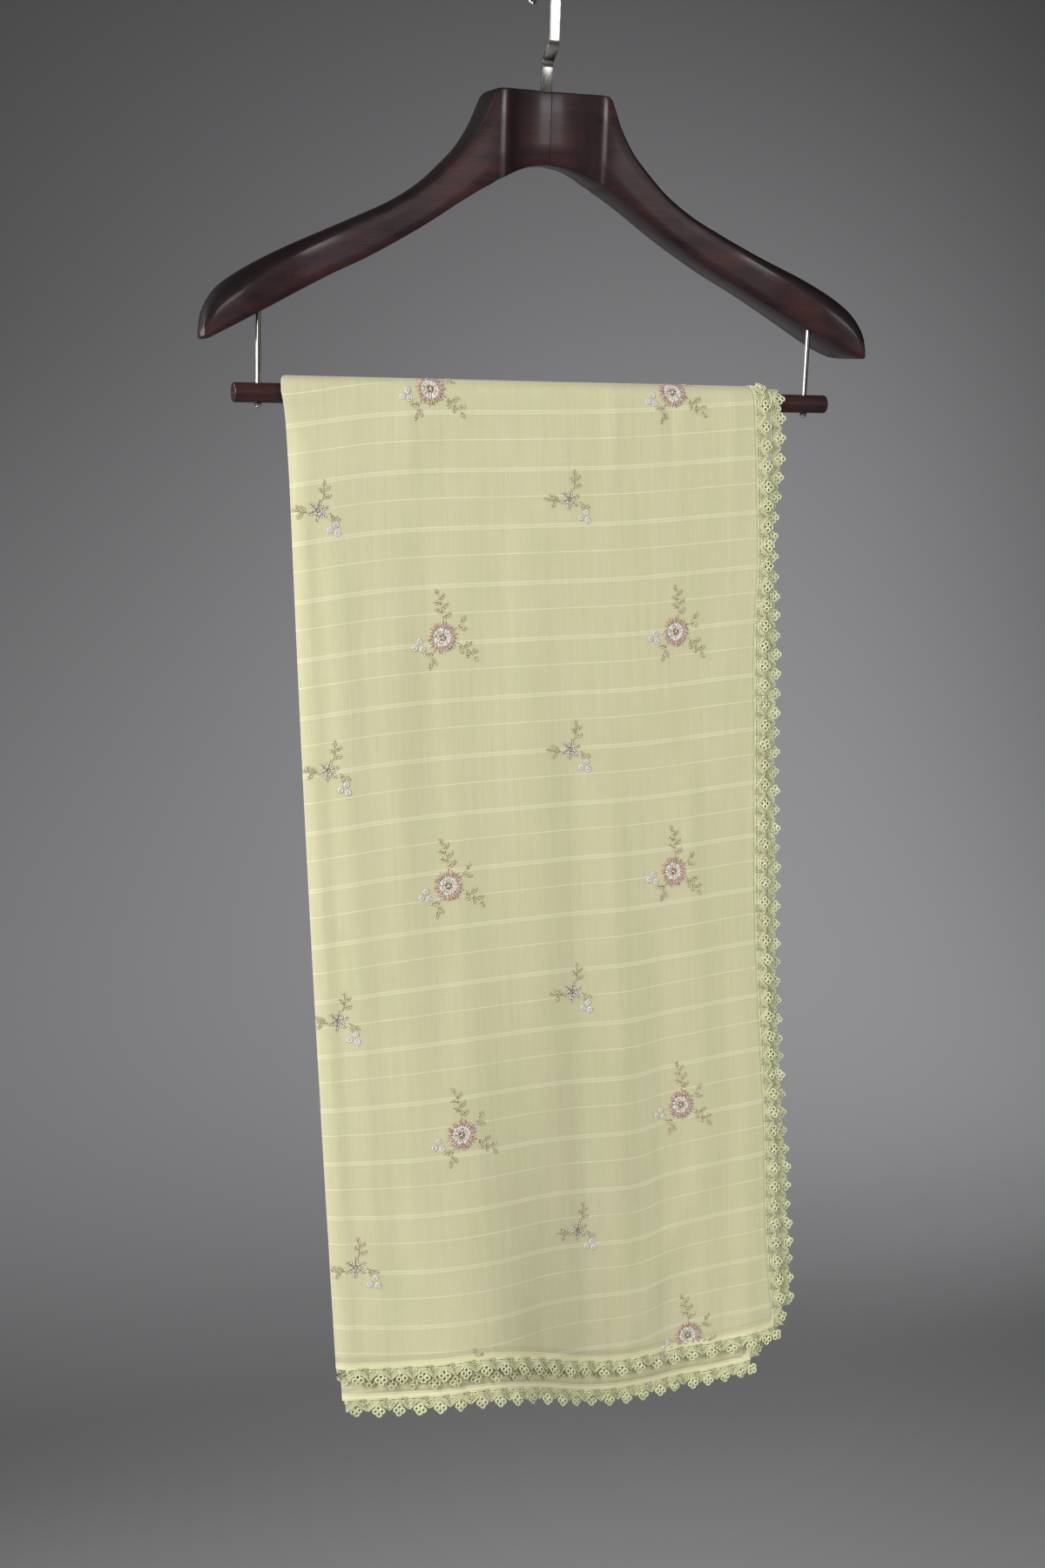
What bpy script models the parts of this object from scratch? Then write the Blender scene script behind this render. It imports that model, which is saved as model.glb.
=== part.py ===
"""Dupatta stole hung over the bar of a contoured wooden suit hanger.

Metres, +Z up, +X along the bar, -Y to the front. The origin is the point where the hook rests on its rail.
The hanger leans a little, because its arms curve forward, and the stole hangs plumb from its bar.
"""
import math

import bmesh
import bpy
from mathutils import Matrix, Vector

MM = 0.001
GAP = 0.3 * MM

# Hanger, in its own frame: origin on the bar's axis, Z up the rods, Y to the back.
LEAN = math.radians(8.6)
BAR_RADIUS = 6.0 * MM
BAR_LENGTH = 405 * MM
BAR_EDGE = 1.0 * MM
ROD_X = 187 * MM
ROD_RADIUS = 1.6 * MM
ROD_TOP = 58 * MM
NUT_RADIUS = 2.7 * MM
NUT_HEIGHT = 3.2 * MM
STRAP_WIDTH = 7.5 * MM
STRAP_THICKNESS = 2.2 * MM
STRAP_FOOT = 171 * MM
STRAP_Y = 16.3 * MM
STEM_Y = 7.0 * MM
JOGGLE_LOW = 203.9 * MM
JOGGLE_HIGH = 213.2 * MM
HOOK_CENTRE_Z = 255 * MM
HOOK_RADIUS = 19.0 * MM
HOOK_END = math.radians(-40)
HOOK_STEPS = 22

# One wooden arm, a row for each section from the centre seam to the tip, in millimetres:
# distance out, front face, back face, underside, start of the bevel, height and place of the crest, and how
# much lower the underside is at the back.
ARM_COLUMNS = ("out", "front", "back", "low", "bevel", "top", "crest", "heel")
ARM = (
    (0.0, 7.0, 25.6, 142.3, 185.4, 186.2, 10.5, 0.0),
    (12.0, 6.1, 26.5, 140.8, 185.4, 186.2, 9.6, 0.0),
    (24.0, 3.5, 29.1, 136.8, 185.2, 186.0, 7.0, 0.0),
    (33.0, 0.2, 32.4, 132.6, 184.8, 185.6, 3.8, 0.0),
    (36.5, 0.5, 32.2, 131.0, 184.0, 185.2, 3.6, 0.0),
    (39.0, 0.8, 32.0, 129.2, 180.5, 183.5, 4.0, 0.0),
    (45.0, 1.2, 31.8, 125.9, 166.0, 170.0, 5.0, 0.0),
    (55.0, 1.6, 31.5, 119.9, 150.2, 153.9, 5.6, 0.0),
    (65.0, 1.9, 31.2, 113.4, 139.4, 143.2, 6.1, 0.0),
    (80.0, 2.2, 31.0, 103.6, 125.7, 129.6, 6.8, 0.0),
    (100.0, 2.4, 30.8, 91.8, 112.8, 116.8, 8.1, 0.0),
    (120.0, 2.4, 30.6, 80.9, 102.9, 107.3, 8.6, 0.0),
    (140.0, 2.0, 30.8, 71.4, 93.4, 98.4, 8.0, 0.0),
    (160.0, 0.0, 31.4, 61.2, 83.0, 89.7, 5.5, 0.0),
    (180.0, -5.0, 32.0, 51.0, 70.5, 80.5, 0.0, 0.4),
    (198.0, -10.0, 31.0, 42.0, 58.0, 70.8, -4.5, 1.6),
    (208.0, -12.0, 27.0, 37.0, 51.5, 64.2, -6.5, 2.6),
    (214.0, -13.0, 21.0, 34.0, 46.5, 59.0, -8.0, 2.8),
    (219.0, -13.8, 12.0, 31.6, 41.0, 52.6, -9.0, 1.4),
    (222.5, -13.8, 3.0, 30.6, 37.5, 46.0, -9.5, 0.3),
    (224.5, -12.2, -4.0, 30.8, 34.5, 38.5, -8.5, 0.0),
)
ARM_ROUND = 1.6 * MM

# Cloth. The front drop is set out by a row for each station across the folded width, in millimetres:
# distance from the left fold, place along the bar of the hem, how far the hem swings to the back,
# level of the outer hem below the bar's axis, and how much lower the second layer's hem ends.
WALL = 1.0 * MM
LAYER_STEP = WALL + GAP
OUTER_RADIUS = 10.8 * MM
FOLD_AT_BAR = -171 * MM
FOLD_COLUMNS = ("across", "hem_x", "swing", "hem", "second")
FOLDS = (
    (0, -159.6, 0.0, 605.0, 0.0),
    (37, -122.0, -5.0, 608.0, 4.0),
    (65, -94.0, -11.0, 610.0, 5.0),
    (89, -69.5, -13.5, 611.5, 5.0),
    (115, -43.0, -10.0, 616.0, 4.5),
    (141, -19.0, 0.0, 622.0, 3.0),
    (168, 7.0, 8.0, 630.0, 1.0),
    (195, 34.0, 13.0, 635.0, 0.0),
    (222, 62.0, 15.5, 636.0, -1.5),
    (249, 89.0, 17.0, 635.0, -2.0),
    (276, 117.0, 14.0, 634.0, -2.0),
    (290, 130.5, 10.0, 632.0, -2.0),
    (316, 154.5, 8.5, 629.0, -2.0),
)
FULL_DROP = 630 * MM
LEAN_GROWTH = 1.5
SWING_GROWTH = 2.5
GROWTH_START = 60 * MM
FRONT_LEVELS = tuple(level * MM for level in (0.15, 110, 210, 300, 380, 450, 510, 560, 595))
BACK_LEVELS = 3
BACK_DROP = 545 * MM
BACK_RISE = 8 * MM
FOLD_TUCK = 9.5 * MM
TUCK_BEHIND_BAR = 0.65
BAR_TURN_STEPS = 8
FOOT_TURN_STEPS = 6
LACE_WIDTH = 12.5 * MM

# Each layer, outermost first: its left fold and right edge across the folded width, and how far that edge
# creeps along the bar on its way down the back, to meet the layer it turns into at the foot.
LAYERS = (
    {"name": "1", "fold": 0.0 * MM, "edge": 316.0 * MM, "creep": -10.0 * MM},
    {"name": "2", "fold": 0.0 * MM, "edge": 324.0 * MM, "creep": -10.0 * MM},
    {"name": "3", "fold": 3.0 * MM, "edge": 303.0 * MM, "creep": 10.0 * MM},
    {"name": "4", "fold": 3.0 * MM, "edge": 297.0 * MM, "creep": 10.0 * MM},
)
# The two doubled strips: the first layer of each, how much lower its hem ends than the outer hem, and how
# far it stands forward of the cloth behind it at the foot.
STRIPS = (
    {"name": "outer", "first": 0, "longer": 0.0 * MM, "bloom": 0.8 * MM},
    {"name": "inner", "first": 2, "longer": 21.0 * MM, "bloom": 0.0 * MM},
)


def clear_scene():
    for item in list(bpy.data.objects):
        bpy.data.objects.remove(item)


def make_collection(name):
    collection = bpy.data.collections.new(name)
    bpy.context.scene.collection.children.link(collection)
    return collection


def make_material(name, colour, roughness, metallic=0.0):
    material = bpy.data.materials.new(name)
    material.use_nodes = True
    shader = material.node_tree.nodes["Principled BSDF"]
    shader.inputs["Base Color"].default_value = (*colour, 1.0)
    shader.inputs["Roughness"].default_value = roughness
    shader.inputs["Metallic"].default_value = metallic
    return material


def add_mesh_object(name, mesh, collection, material=None, smooth_angle=None):
    piece = bpy.data.objects.new(name, mesh)
    collection.objects.link(piece)
    if material:
        mesh.materials.append(material)
    if smooth_angle is not None:
        mesh.shade_smooth()
        mesh.set_sharp_from_angle(angle=smooth_angle)
    return piece


def loft(name, rings, cap, split=False):
    """Mesh through equal rings of points; cap(ring) gives the faces that close each end.

    Split quads all have the same diagonal, from the left of a row to the right of the next, so that walls
    that hang close together have facets that match.
    """
    shell = bmesh.new()
    rows = [[shell.verts.new(point) for point in ring] for ring in rings]
    count = len(rows[0])
    for row, following in zip(rows, rows[1:]):
        for index in range(count):
            after = (index + 1) % count
            corners = (row[index], row[after], following[after], following[index])
            if not split:
                shell.faces.new(corners)
            elif row[index].co.x < row[after].co.x:
                shell.faces.new((corners[0], corners[1], corners[2]))
                shell.faces.new((corners[0], corners[2], corners[3]))
            else:
                shell.faces.new((corners[0], corners[1], corners[3]))
                shell.faces.new((corners[1], corners[2], corners[3]))
    for row in (rows[0], rows[-1]):
        for corners in cap(count):
            shell.faces.new([row[corner] for corner in corners])
    bmesh.ops.recalc_face_normals(shell, faces=shell.faces)
    mesh = bpy.data.meshes.new(name)
    shell.to_mesh(mesh)
    shell.free()
    return mesh


def cap_whole(count):
    return [list(range(count))]


def cap_wall(count):
    """Quads between the two sides of a thin wall whose ring runs out along one and back along the other."""
    half = count // 2
    return [(step, step + 1, count - 2 - step, count - 1 - step) for step in range(half - 1)]


def cylinder_mesh(name, radius, start, end, segments):
    """Cylinder from start to end, with smooth sides and capped ends."""
    shell = bmesh.new()
    axis = end - start
    turn = axis.to_track_quat("Z", "Y").to_matrix().to_4x4()
    bmesh.ops.create_cone(shell, cap_ends=True, segments=segments, radius1=radius, radius2=radius,
                          depth=axis.length, matrix=Matrix.Translation((start + end) / 2) @ turn)
    mesh = bpy.data.meshes.new(name)
    shell.to_mesh(mesh)
    shell.free()
    return mesh


def box_mesh(name, centre, size):
    shell = bmesh.new()
    bmesh.ops.create_cube(shell, size=1.0, matrix=Matrix.Translation(centre) @ Matrix.Diagonal((*size, 1.0)))
    mesh = bpy.data.meshes.new(name)
    shell.to_mesh(mesh)
    shell.free()
    return mesh


def add_cutter(name, mesh, collection, frame):
    cutter = add_mesh_object(name, mesh, collection)
    cutter.parent = frame
    cutter.hide_render = True
    cutter.display_type = "WIRE"
    return cutter


def cut(piece, cutter):
    boolean = piece.modifiers.new("cut " + cutter.name, "BOOLEAN")
    boolean.operation = "DIFFERENCE"
    boolean.solver = "EXACT"
    boolean.object = cutter


def hanger_frame(collection):
    """Empty on the bar's axis, leaned so that the hook's resting point falls on the origin."""
    rest = Vector((0.0, STEM_Y + STRAP_THICKNESS / 2 + HOOK_RADIUS, HOOK_CENTRE_Z + HOOK_RADIUS))
    lean = Matrix.Rotation(LEAN, 4, "X")
    frame = bpy.data.objects.new("hanger_frame", None)
    frame.matrix_world = Matrix.Translation(-(lean @ rest)) @ lean
    collection.objects.link(frame)
    return frame


def add_hook(collection, frame, material):
    """Flat strap, bent forward just above the neck and rolled over to the back."""
    half = STRAP_THICKNESS / 2
    hook_y = STEM_Y + half + HOOK_RADIUS
    radius = HOOK_RADIUS + half
    path = [(STRAP_Y, STRAP_FOOT), (STRAP_Y, JOGGLE_LOW), (STEM_Y, JOGGLE_HIGH)]
    for step in range(HOOK_STEPS + 1):
        angle = math.pi + (HOOK_END - math.pi) * step / HOOK_STEPS
        path.append((hook_y + radius * math.cos(angle), HOOK_CENTRE_Z + radius * math.sin(angle)))
    path = [Vector(point) for point in path]
    sides = ([], [])
    for index, point in enumerate(path):
        before = (point - path[index - 1]).normalized() if index else None
        after = (path[index + 1] - point).normalized() if index + 1 < len(path) else None
        along = ((before or after) + (after or before)).normalized()
        mitre = along.dot(before or after)
        across = Vector((-along.y, along.x)) * half / mitre
        sides[0].append(point + across)
        sides[1].append(point - across)
    outline = sides[0] + sides[1][::-1]
    rings = [[Vector((x, y, z)) for y, z in outline] for x in (-STRAP_WIDTH / 2, STRAP_WIDTH / 2)]
    mesh = loft("hook", rings, cap_wall)
    hook = add_mesh_object("hook", mesh, collection, material, math.radians(30))
    hook.parent = frame


def arm_section(row, side):
    """Ring of one section of an arm, from its front lower edge up, over the crest and down the back."""
    size = {column: value * MM for column, value in zip(ARM_COLUMNS, row)}
    front, back, low, bevel, top = (size[name] for name in ("front", "back", "low", "bevel", "top"))
    crest = size["crest"]
    heel = low - size["heel"]
    drop = top - bevel
    profile = (
        (front + ARM_ROUND, low),
        (front, low + ARM_ROUND),
        (front, bevel),
        (front + 0.35 * (crest - front), bevel + 0.72 * drop),
        (crest, top),
        (0.55 * crest + 0.45 * back, top - 0.10 * drop),
        (back - 0.25 * drop - ARM_ROUND, top - 0.55 * drop),
        (back, top - 0.9 * drop - ARM_ROUND),
        (back, heel + ARM_ROUND),
        (back - ARM_ROUND, heel),
    )
    x = side * (size["out"] + GAP / 2)
    return [Vector((x, y, z)) for y, z in profile]


def add_shoulders(collection, cutters, frame, material):
    pocket_size = (STRAP_WIDTH + 2 * GAP, STRAP_THICKNESS + 2 * GAP, 2 * (ARM[0][5] * MM - STRAP_FOOT + GAP))
    pocket = add_cutter("strap_pocket", box_mesh("strap_pocket", (0, STRAP_Y, ARM[0][5] * MM), pocket_size),
                        cutters, frame)
    for name, side in (("left", -1), ("right", 1)):
        mesh = loft("shoulder_" + name, [arm_section(row, side) for row in ARM], cap_whole)
        shoulder = add_mesh_object("shoulder_" + name, mesh, collection, material, math.radians(35))
        shoulder.parent = frame
        socket = cylinder_mesh("rod_socket_" + name, ROD_RADIUS + GAP, Vector((side * ROD_X, 0, 30 * MM)),
                               Vector((side * ROD_X, 0, ROD_TOP + GAP)), 16)
        cut(shoulder, pocket)
        cut(shoulder, add_cutter("rod_socket_" + name, socket, cutters, frame))


def add_bar(collection, cutters, frame, material):
    half = Vector((BAR_LENGTH / 2, 0, 0))
    bar = add_mesh_object("trouser_bar", cylinder_mesh("trouser_bar", BAR_RADIUS, -half, half, 24),
                          collection, material, math.radians(35))
    bar.parent = frame
    edge = bar.modifiers.new("turned edge", "BEVEL")
    edge.width = BAR_EDGE
    edge.segments = 2
    edge.angle_limit = math.radians(60)
    for name, side in (("left", -1), ("right", 1)):
        reach = Vector((0, 0, 2 * BAR_RADIUS))
        middle = Vector((side * ROD_X, 0, 0))
        hole = cylinder_mesh("rod_hole_" + name, ROD_RADIUS + GAP, middle - reach, middle + reach, 16)
        cut(bar, add_cutter("rod_hole_" + name, hole, cutters, frame))


def add_rods(collection, frame, material):
    """Steel rods from the arms down through the bar, each turned in one piece with its nut."""
    nut_top = -BAR_RADIUS - GAP
    profile = ((0, ROD_TOP), (ROD_RADIUS, ROD_TOP), (ROD_RADIUS, nut_top), (NUT_RADIUS, nut_top),
               (NUT_RADIUS, nut_top - NUT_HEIGHT), (0, nut_top - NUT_HEIGHT))
    for name, side in (("left", -1), ("right", 1)):
        mesh = bpy.data.meshes.new("rod_" + name)
        points = [(x, 0, z) for x, z in profile]
        mesh.from_pydata(points, [(index, index + 1) for index in range(len(points) - 1)], [])
        rod = add_mesh_object("rod_" + name, mesh, collection, material)
        rod.parent = frame
        rod.location = (side * ROD_X, 0, 0)
        turn = rod.modifiers.new("turned", "SCREW")
        turn.axis = "Z"
        turn.steps = turn.render_steps = 16
        turn.use_merge_vertices = True
        turn.merge_threshold = 0.00001
        turn.use_smooth_shade = False


def fold_value(column, across):
    """Value of a column of the folds table at a distance across, straight between its rows and past its ends."""
    place = FOLD_COLUMNS.index(column)
    spots = [row[0] * MM for row in FOLDS]
    heights = [row[place] * MM for row in FOLDS]
    span = 0
    while span < len(spots) - 2 and across > spots[span + 1]:
        span += 1
    slope = (heights[span + 1] - heights[span]) / (spots[span + 1] - spots[span])
    return heights[span] + slope * (across - spots[span])


def tuck(across, share):
    """How far cloth near the left fold has drawn in behind the front, at a share of its tuck at the foot."""
    return FOLD_TUCK * share * max(0.0, 1 - across / (FOLDS[1][0] * MM))


def hang_point(across, radius, level, swing=0.0):
    """Point of the hanging cloth at a level below the bar's axis; a negative radius is in front of the bar."""
    depth = max(level - GROWTH_START, 0.0) / (FULL_DROP - GROWTH_START)
    at_bar = FOLD_AT_BAR + across
    x = at_bar + (fold_value("hem_x", across) - at_bar) * depth ** LEAN_GROWTH
    return Vector((x, radius + swing * depth ** SWING_GROWTH, -level))


def front_station(level, strip):
    def place(across, radius, second):
        return hang_point(across, -radius, level, fold_value("swing", across) - strip["bloom"])
    return place


def hem_station(below, strip):
    """Station a given way below the hem, which ends lower on a strip's second layer."""
    def place(across, radius, second):
        level = fold_value("hem", across) + second * fold_value("second", across) + strip["longer"] + below
        return hang_point(across, -radius, level, fold_value("swing", across) - strip["bloom"])
    return place


def bar_station(angle):
    def place(across, radius, second):
        x = FOLD_AT_BAR + across + tuck(across, TUCK_BEHIND_BAR * (1 - math.cos(angle)) / 2)
        return Vector((x, -radius * math.cos(angle), radius * math.sin(angle)))
    return place


def back_foot(across):
    return BACK_DROP - BACK_RISE * across / (FOLDS[-1][0] * MM)


def back_station(share, creep):
    """Station down the back, where all that lies beyond the last inner fold creeps along the bar."""
    def place(across, radius, second):
        level = GAP / 2 + share * (back_foot(across) - GAP / 2)
        drawn_in = tuck(across, TUCK_BEHIND_BAR + (1 - TUCK_BEHIND_BAR) * share)
        if across > FOLDS[-2][0] * MM:
            across += share * creep
        return hang_point(across, radius, level) + Vector((drawn_in, 0, 0))
    return place


def foot_station(angle, centre):
    def place(across, radius, second):
        reach = radius - centre
        level = back_foot(across) + GAP + reach * math.sin(angle)
        return hang_point(across, centre + reach * math.cos(angle), level) + Vector((tuck(across, 1.0), 0, 0))
    return place


def layer_radius(index):
    return OUTER_RADIUS - index * LAYER_STEP


def flat_samples(start, end, radius, second):
    """Outer and inner points of one wall from start to end across, with a sample at each row of the folds."""
    between = [row[0] * MM for row in FOLDS if start + GAP < row[0] * MM < end - GAP]
    return [((across, radius + WALL / 2, second), (across, radius - WALL / 2, second))
            for across in [start] + between + [end]]


def fold_samples(first, edge_reach=0.0):
    """Section of a doubled strip: the outer wall from its edge, round the left fold, the inner wall to its edge."""
    front, behind = LAYERS[first], LAYERS[first + 1]
    outer, inner = layer_radius(first), layer_radius(first + 1)
    middle = (outer + inner) / 2
    turn = front["fold"] + LAYER_STEP / 2 + WALL / 2
    samples = flat_samples(turn, front["edge"] + edge_reach, outer, 0.0)[::-1]
    for angle in (math.radians(135), math.radians(180), math.radians(225)):
        outside, inside = (LAYER_STEP + WALL) / 2, (LAYER_STEP - WALL) / 2
        samples.append(tuple((turn + reach * math.cos(angle), middle + reach * math.sin(angle), 0.5)
                             for reach in (outside, inside)))
    back = flat_samples(turn, behind["edge"] + edge_reach, inner, 1.0)
    return samples + [(inside, outside) for outside, inside in back]


def wall_rings(samples, stations):
    rings = []
    for place in stations:
        outside = [place(*sample[0]) for sample in samples]
        inside = [place(*sample[1]) for sample in samples]
        rings.append(outside + inside[::-1])
    return rings


def add_wall(name, samples, stations, collection, frame, material):
    mesh = loft(name, wall_rings(samples, stations), cap_wall, split=True)
    wall = add_mesh_object(name, mesh, collection, material, math.radians(50))
    wall.location = frame.matrix_world.translation


def turn_angles(steps, margin):
    return [margin + (math.pi - 2 * margin) * step / steps for step in range(steps + 1)]


def strip_stations(strip, creep):
    """Stations of one layer or strip: down the front to the hem, over the bar, and down the back."""
    front = [front_station(level, strip) for level in FRONT_LEVELS] + [hem_station(0.0, strip)]
    over = [bar_station(angle) for angle in turn_angles(BAR_TURN_STEPS, GAP / 2 / BAR_RADIUS)]
    back = [back_station(step / BACK_LEVELS, creep) for step in range(BACK_LEVELS + 1)]
    return {"front": front, "over": over, "back": back}


def add_stole(collection, frame, cloth, lace):
    """The two doubled strips and their hem laces, then the lace along the right edge of each layer."""
    for strip in STRIPS:
        first = strip["first"]
        section = fold_samples(first)
        for stretch, stations in strip_stations(strip, LAYERS[first]["creep"]).items():
            add_wall("stole_" + stretch + "_" + strip["name"], section, stations, collection, frame, cloth)
        hem = [hem_station(below, strip) for below in (GAP, GAP + LACE_WIDTH)]
        section = fold_samples(first, GAP + LACE_WIDTH)
        add_wall("lace_hem_" + strip["name"], section, hem, collection, frame, lace)
        for index in (first, first + 1):
            layer = LAYERS[index]
            start = layer["edge"] + GAP
            section = flat_samples(start, start + LACE_WIDTH, layer_radius(index), float(index - first))
            for stretch, stations in strip_stations(strip, layer["creep"]).items():
                add_wall("lace_" + stretch + "_" + layer["name"], section, stations, collection, frame, lace)


def add_foot_turn(collection, frame, cloth, lace):
    """Crosswise fold at the foot of the back, where the outer strip turns up into the inner one."""
    centre = (layer_radius(0) + layer_radius(3)) / 2
    stations = [foot_station(angle, centre) for angle in turn_angles(FOOT_TURN_STEPS, 0.0)]
    for name, index in (("outer", 0), ("inner", 1)):
        layer, turned = LAYERS[index], LAYERS[3 - index]
        edge = (layer["edge"] + turned["edge"]) / 2
        radius = layer_radius(index)
        section = flat_samples(turned["fold"], edge, radius, 0.0)
        add_wall("stole_turn_" + name, section, stations, collection, frame, cloth)
        section = flat_samples(edge + GAP, edge + GAP + LACE_WIDTH, radius, 0.0)
        add_wall("lace_turn_" + name, section, stations, collection, frame, lace)


clear_scene()
parts = make_collection("dupatta_stole_on_hanger")
cutting = make_collection("cutters")
wood = make_material("mahogany lacquer", (0.060, 0.014, 0.010), 0.32)
steel = make_material("satin steel", (0.62, 0.61, 0.58), 0.30, 1.0)
voile = make_material("pistachio voile", (0.60, 0.59, 0.34), 0.75)
guipure = make_material("pistachio lace", (0.58, 0.62, 0.30), 0.80)
leaning = hanger_frame(parts)
add_hook(parts, leaning, steel)
add_shoulders(parts, cutting, leaning, wood)
add_bar(parts, cutting, leaning, wood)
add_rods(parts, leaning, steel)
add_stole(parts, leaning, voile, guipure)
add_foot_turn(parts, leaning, voile, guipure)
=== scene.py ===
"""Dupatta stole with lace edges, hung over the bar of a wooden suit hanger."""
import math
import random

import bmesh
import bpy
import numpy as np
from mathutils import Matrix, Vector


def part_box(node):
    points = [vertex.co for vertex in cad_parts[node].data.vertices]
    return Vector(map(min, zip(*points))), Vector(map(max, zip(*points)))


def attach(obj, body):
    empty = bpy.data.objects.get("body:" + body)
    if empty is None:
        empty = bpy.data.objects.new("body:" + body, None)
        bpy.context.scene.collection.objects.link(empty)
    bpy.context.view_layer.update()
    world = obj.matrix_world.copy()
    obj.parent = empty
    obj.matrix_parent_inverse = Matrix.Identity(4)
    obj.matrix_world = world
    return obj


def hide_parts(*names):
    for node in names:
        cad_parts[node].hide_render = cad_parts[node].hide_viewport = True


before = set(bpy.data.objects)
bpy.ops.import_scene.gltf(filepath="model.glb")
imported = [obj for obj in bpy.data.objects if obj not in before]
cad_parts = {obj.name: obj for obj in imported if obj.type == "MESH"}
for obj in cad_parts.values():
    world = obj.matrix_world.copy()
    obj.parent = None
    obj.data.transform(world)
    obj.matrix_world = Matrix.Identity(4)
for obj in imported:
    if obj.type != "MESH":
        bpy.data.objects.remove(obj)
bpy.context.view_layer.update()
bpy.ops.object.select_all(action="DESELECT")

MM = 0.001
bar_low, bar_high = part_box("trouser_bar")
BAR = (bar_low + bar_high) / 2

# --------------------------------------
# Camera: a little left of the hanger and turned to the right, looking slightly down, as in a studio shot
# from about 1.3 m. Its place is measured from the middle of the trouser bar.
CAMERA_FROM_BAR = Vector((-494.6, -1179.9, -139.5)) * MM
CAMERA_YAW = math.radians(21.82)
CAMERA_PITCH = math.radians(4.71)
CAMERA_ROLL = math.radians(-1.36)
FOCAL_PIXELS = 2285.9
FRAME_HEIGHT = 1800
SENSOR = 36.0

lens = bpy.data.cameras.new("camera")
lens.sensor_width = SENSOR
lens.lens = FOCAL_PIXELS / FRAME_HEIGHT * SENSOR
lens.clip_start = 0.05
camera = bpy.data.objects.new("camera", lens)
bpy.context.scene.collection.objects.link(camera)
turn = Matrix.Rotation(-CAMERA_YAW, 4, "Z") @ Matrix.Rotation(math.pi / 2 - CAMERA_PITCH, 4, "X")
turn = turn @ Matrix.Rotation(CAMERA_ROLL, 4, "Z")
camera.matrix_world = Matrix.Translation(BAR + CAMERA_FROM_BAR) @ turn
bpy.context.scene.camera = camera

# --------------------------------------
# Studio: a floor that sweeps up into a plain paper background, pale near the hanger and painted darker grey
# farther back as a painted falloff of the light. Soft lights stand to the left, in front and behind, two more
# are turned on the paper, and a small one puts the gleam on the steel.


class Level:
    """A number that varies over a surface; sums and products of levels add their own Math nodes."""

    def __init__(self, tree, socket):
        self.tree = tree
        self.socket = socket

    def math(self, operation, *others):
        node = self.tree.nodes.new("ShaderNodeMath")
        node.operation = operation
        for slot, value in zip(node.inputs, (self,) + others):
            if isinstance(value, Level):
                self.tree.links.new(value.socket, slot)
            else:
                slot.default_value = value
        return Level(self.tree, node.outputs[0])

    def __add__(self, other):
        return self.math("ADD", other)

    def __sub__(self, other):
        return self.math("SUBTRACT", other)

    def __rsub__(self, other):
        return (self * -1.0).math("ADD", other)

    def __mul__(self, other):
        return self.math("MULTIPLY", other)

    def __truediv__(self, other):
        return self.math("DIVIDE", other)

    __radd__ = __add__
    __rmul__ = __mul__

    def kept(self):
        """The level, held between 0 and 1."""
        return self.math("MAXIMUM", 0.0).math("MINIMUM", 1.0)

    def away(self, middle):
        return (self - middle).math("ABSOLUTE")

    def hump(self, middle, half_width):
        """1 at the middle, falling smoothly to 0 at half_width on either side."""
        return (1.0 - self.away(middle) / half_width).kept().math("SMOOTH_MIN", 1.0, 0.05)


class Finish:
    """A Principled material in the making: node() adds any other node that it needs."""

    def __init__(self, name, **constants):
        self.material = bpy.data.materials.new(name)
        self.material.use_nodes = True
        self.tree = self.material.node_tree
        self.shader = self.tree.nodes["Principled BSDF"]
        for socket, value in constants.items():
            self.shader.inputs[socket.replace("_", " ")].default_value = value

    def node(self, kind, settings=None, sockets=None):
        node = self.tree.nodes.new("ShaderNode" + kind)
        for key, value in (settings or {}).items():
            if key == "stops":
                ramp = node.color_ramp.elements
                while len(ramp) < len(value):
                    ramp.new(0.5)
                for stop, (place, colour) in zip(ramp, value):
                    stop.position = place
                    stop.color = (*colour, 1.0)
            else:
                setattr(node, key, value)
        for key, value in (sockets or {}).items():
            self.put(node.inputs[key], value)
        return node

    def put(self, slot, value):
        if isinstance(value, Level):
            value = value.socket
        if isinstance(value, bpy.types.NodeSocket):
            self.tree.links.new(value, slot)
        elif isinstance(value, tuple) and len(value) == 3 and slot.type == "RGBA":
            slot.default_value = (*value, 1.0)
        else:
            slot.default_value = value

    def level(self, kind, output, settings=None, sockets=None):
        return Level(self.tree, self.node(kind, settings, sockets).outputs[output])

    def noise(self, vector, scale, detail, stretch=None):
        """Noise at a scale, first stretched by a scale of its own on each axis where one is given."""
        if stretch:
            vector = self.node("Mapping", None, {"Vector": vector, "Scale": stretch}).outputs[0]
        return self.level("TexNoise", "Fac", None, {"Vector": vector, "Scale": scale, "Detail": detail})

    def mix(self, share, first, second):
        """Colour between first and second by share."""
        node = self.node("Mix", {"data_type": "RGBA", "blend_type": "MIX"})
        self.put(node.inputs[0], share)
        self.put(node.inputs[6], first)
        self.put(node.inputs[7], second)
        return node.outputs[2]

    def feed(self, socket, value):
        self.put(self.shader.inputs[socket], value)

    def bump(self, height, distance, strength=1.0):
        node = self.node("Bump", None, {"Strength": strength, "Distance": distance, "Height": height})
        self.feed("Normal", node.outputs[0])


def link_mesh(name, points, faces, material):
    """Object of a mesh made from points in metres and faces of any length."""
    mesh = bpy.data.meshes.new(name)
    mesh.from_pydata(points, [], faces)
    mesh.materials.append(material)
    piece = bpy.data.objects.new(name, mesh)
    bpy.context.scene.collection.objects.link(piece)
    return piece


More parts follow.
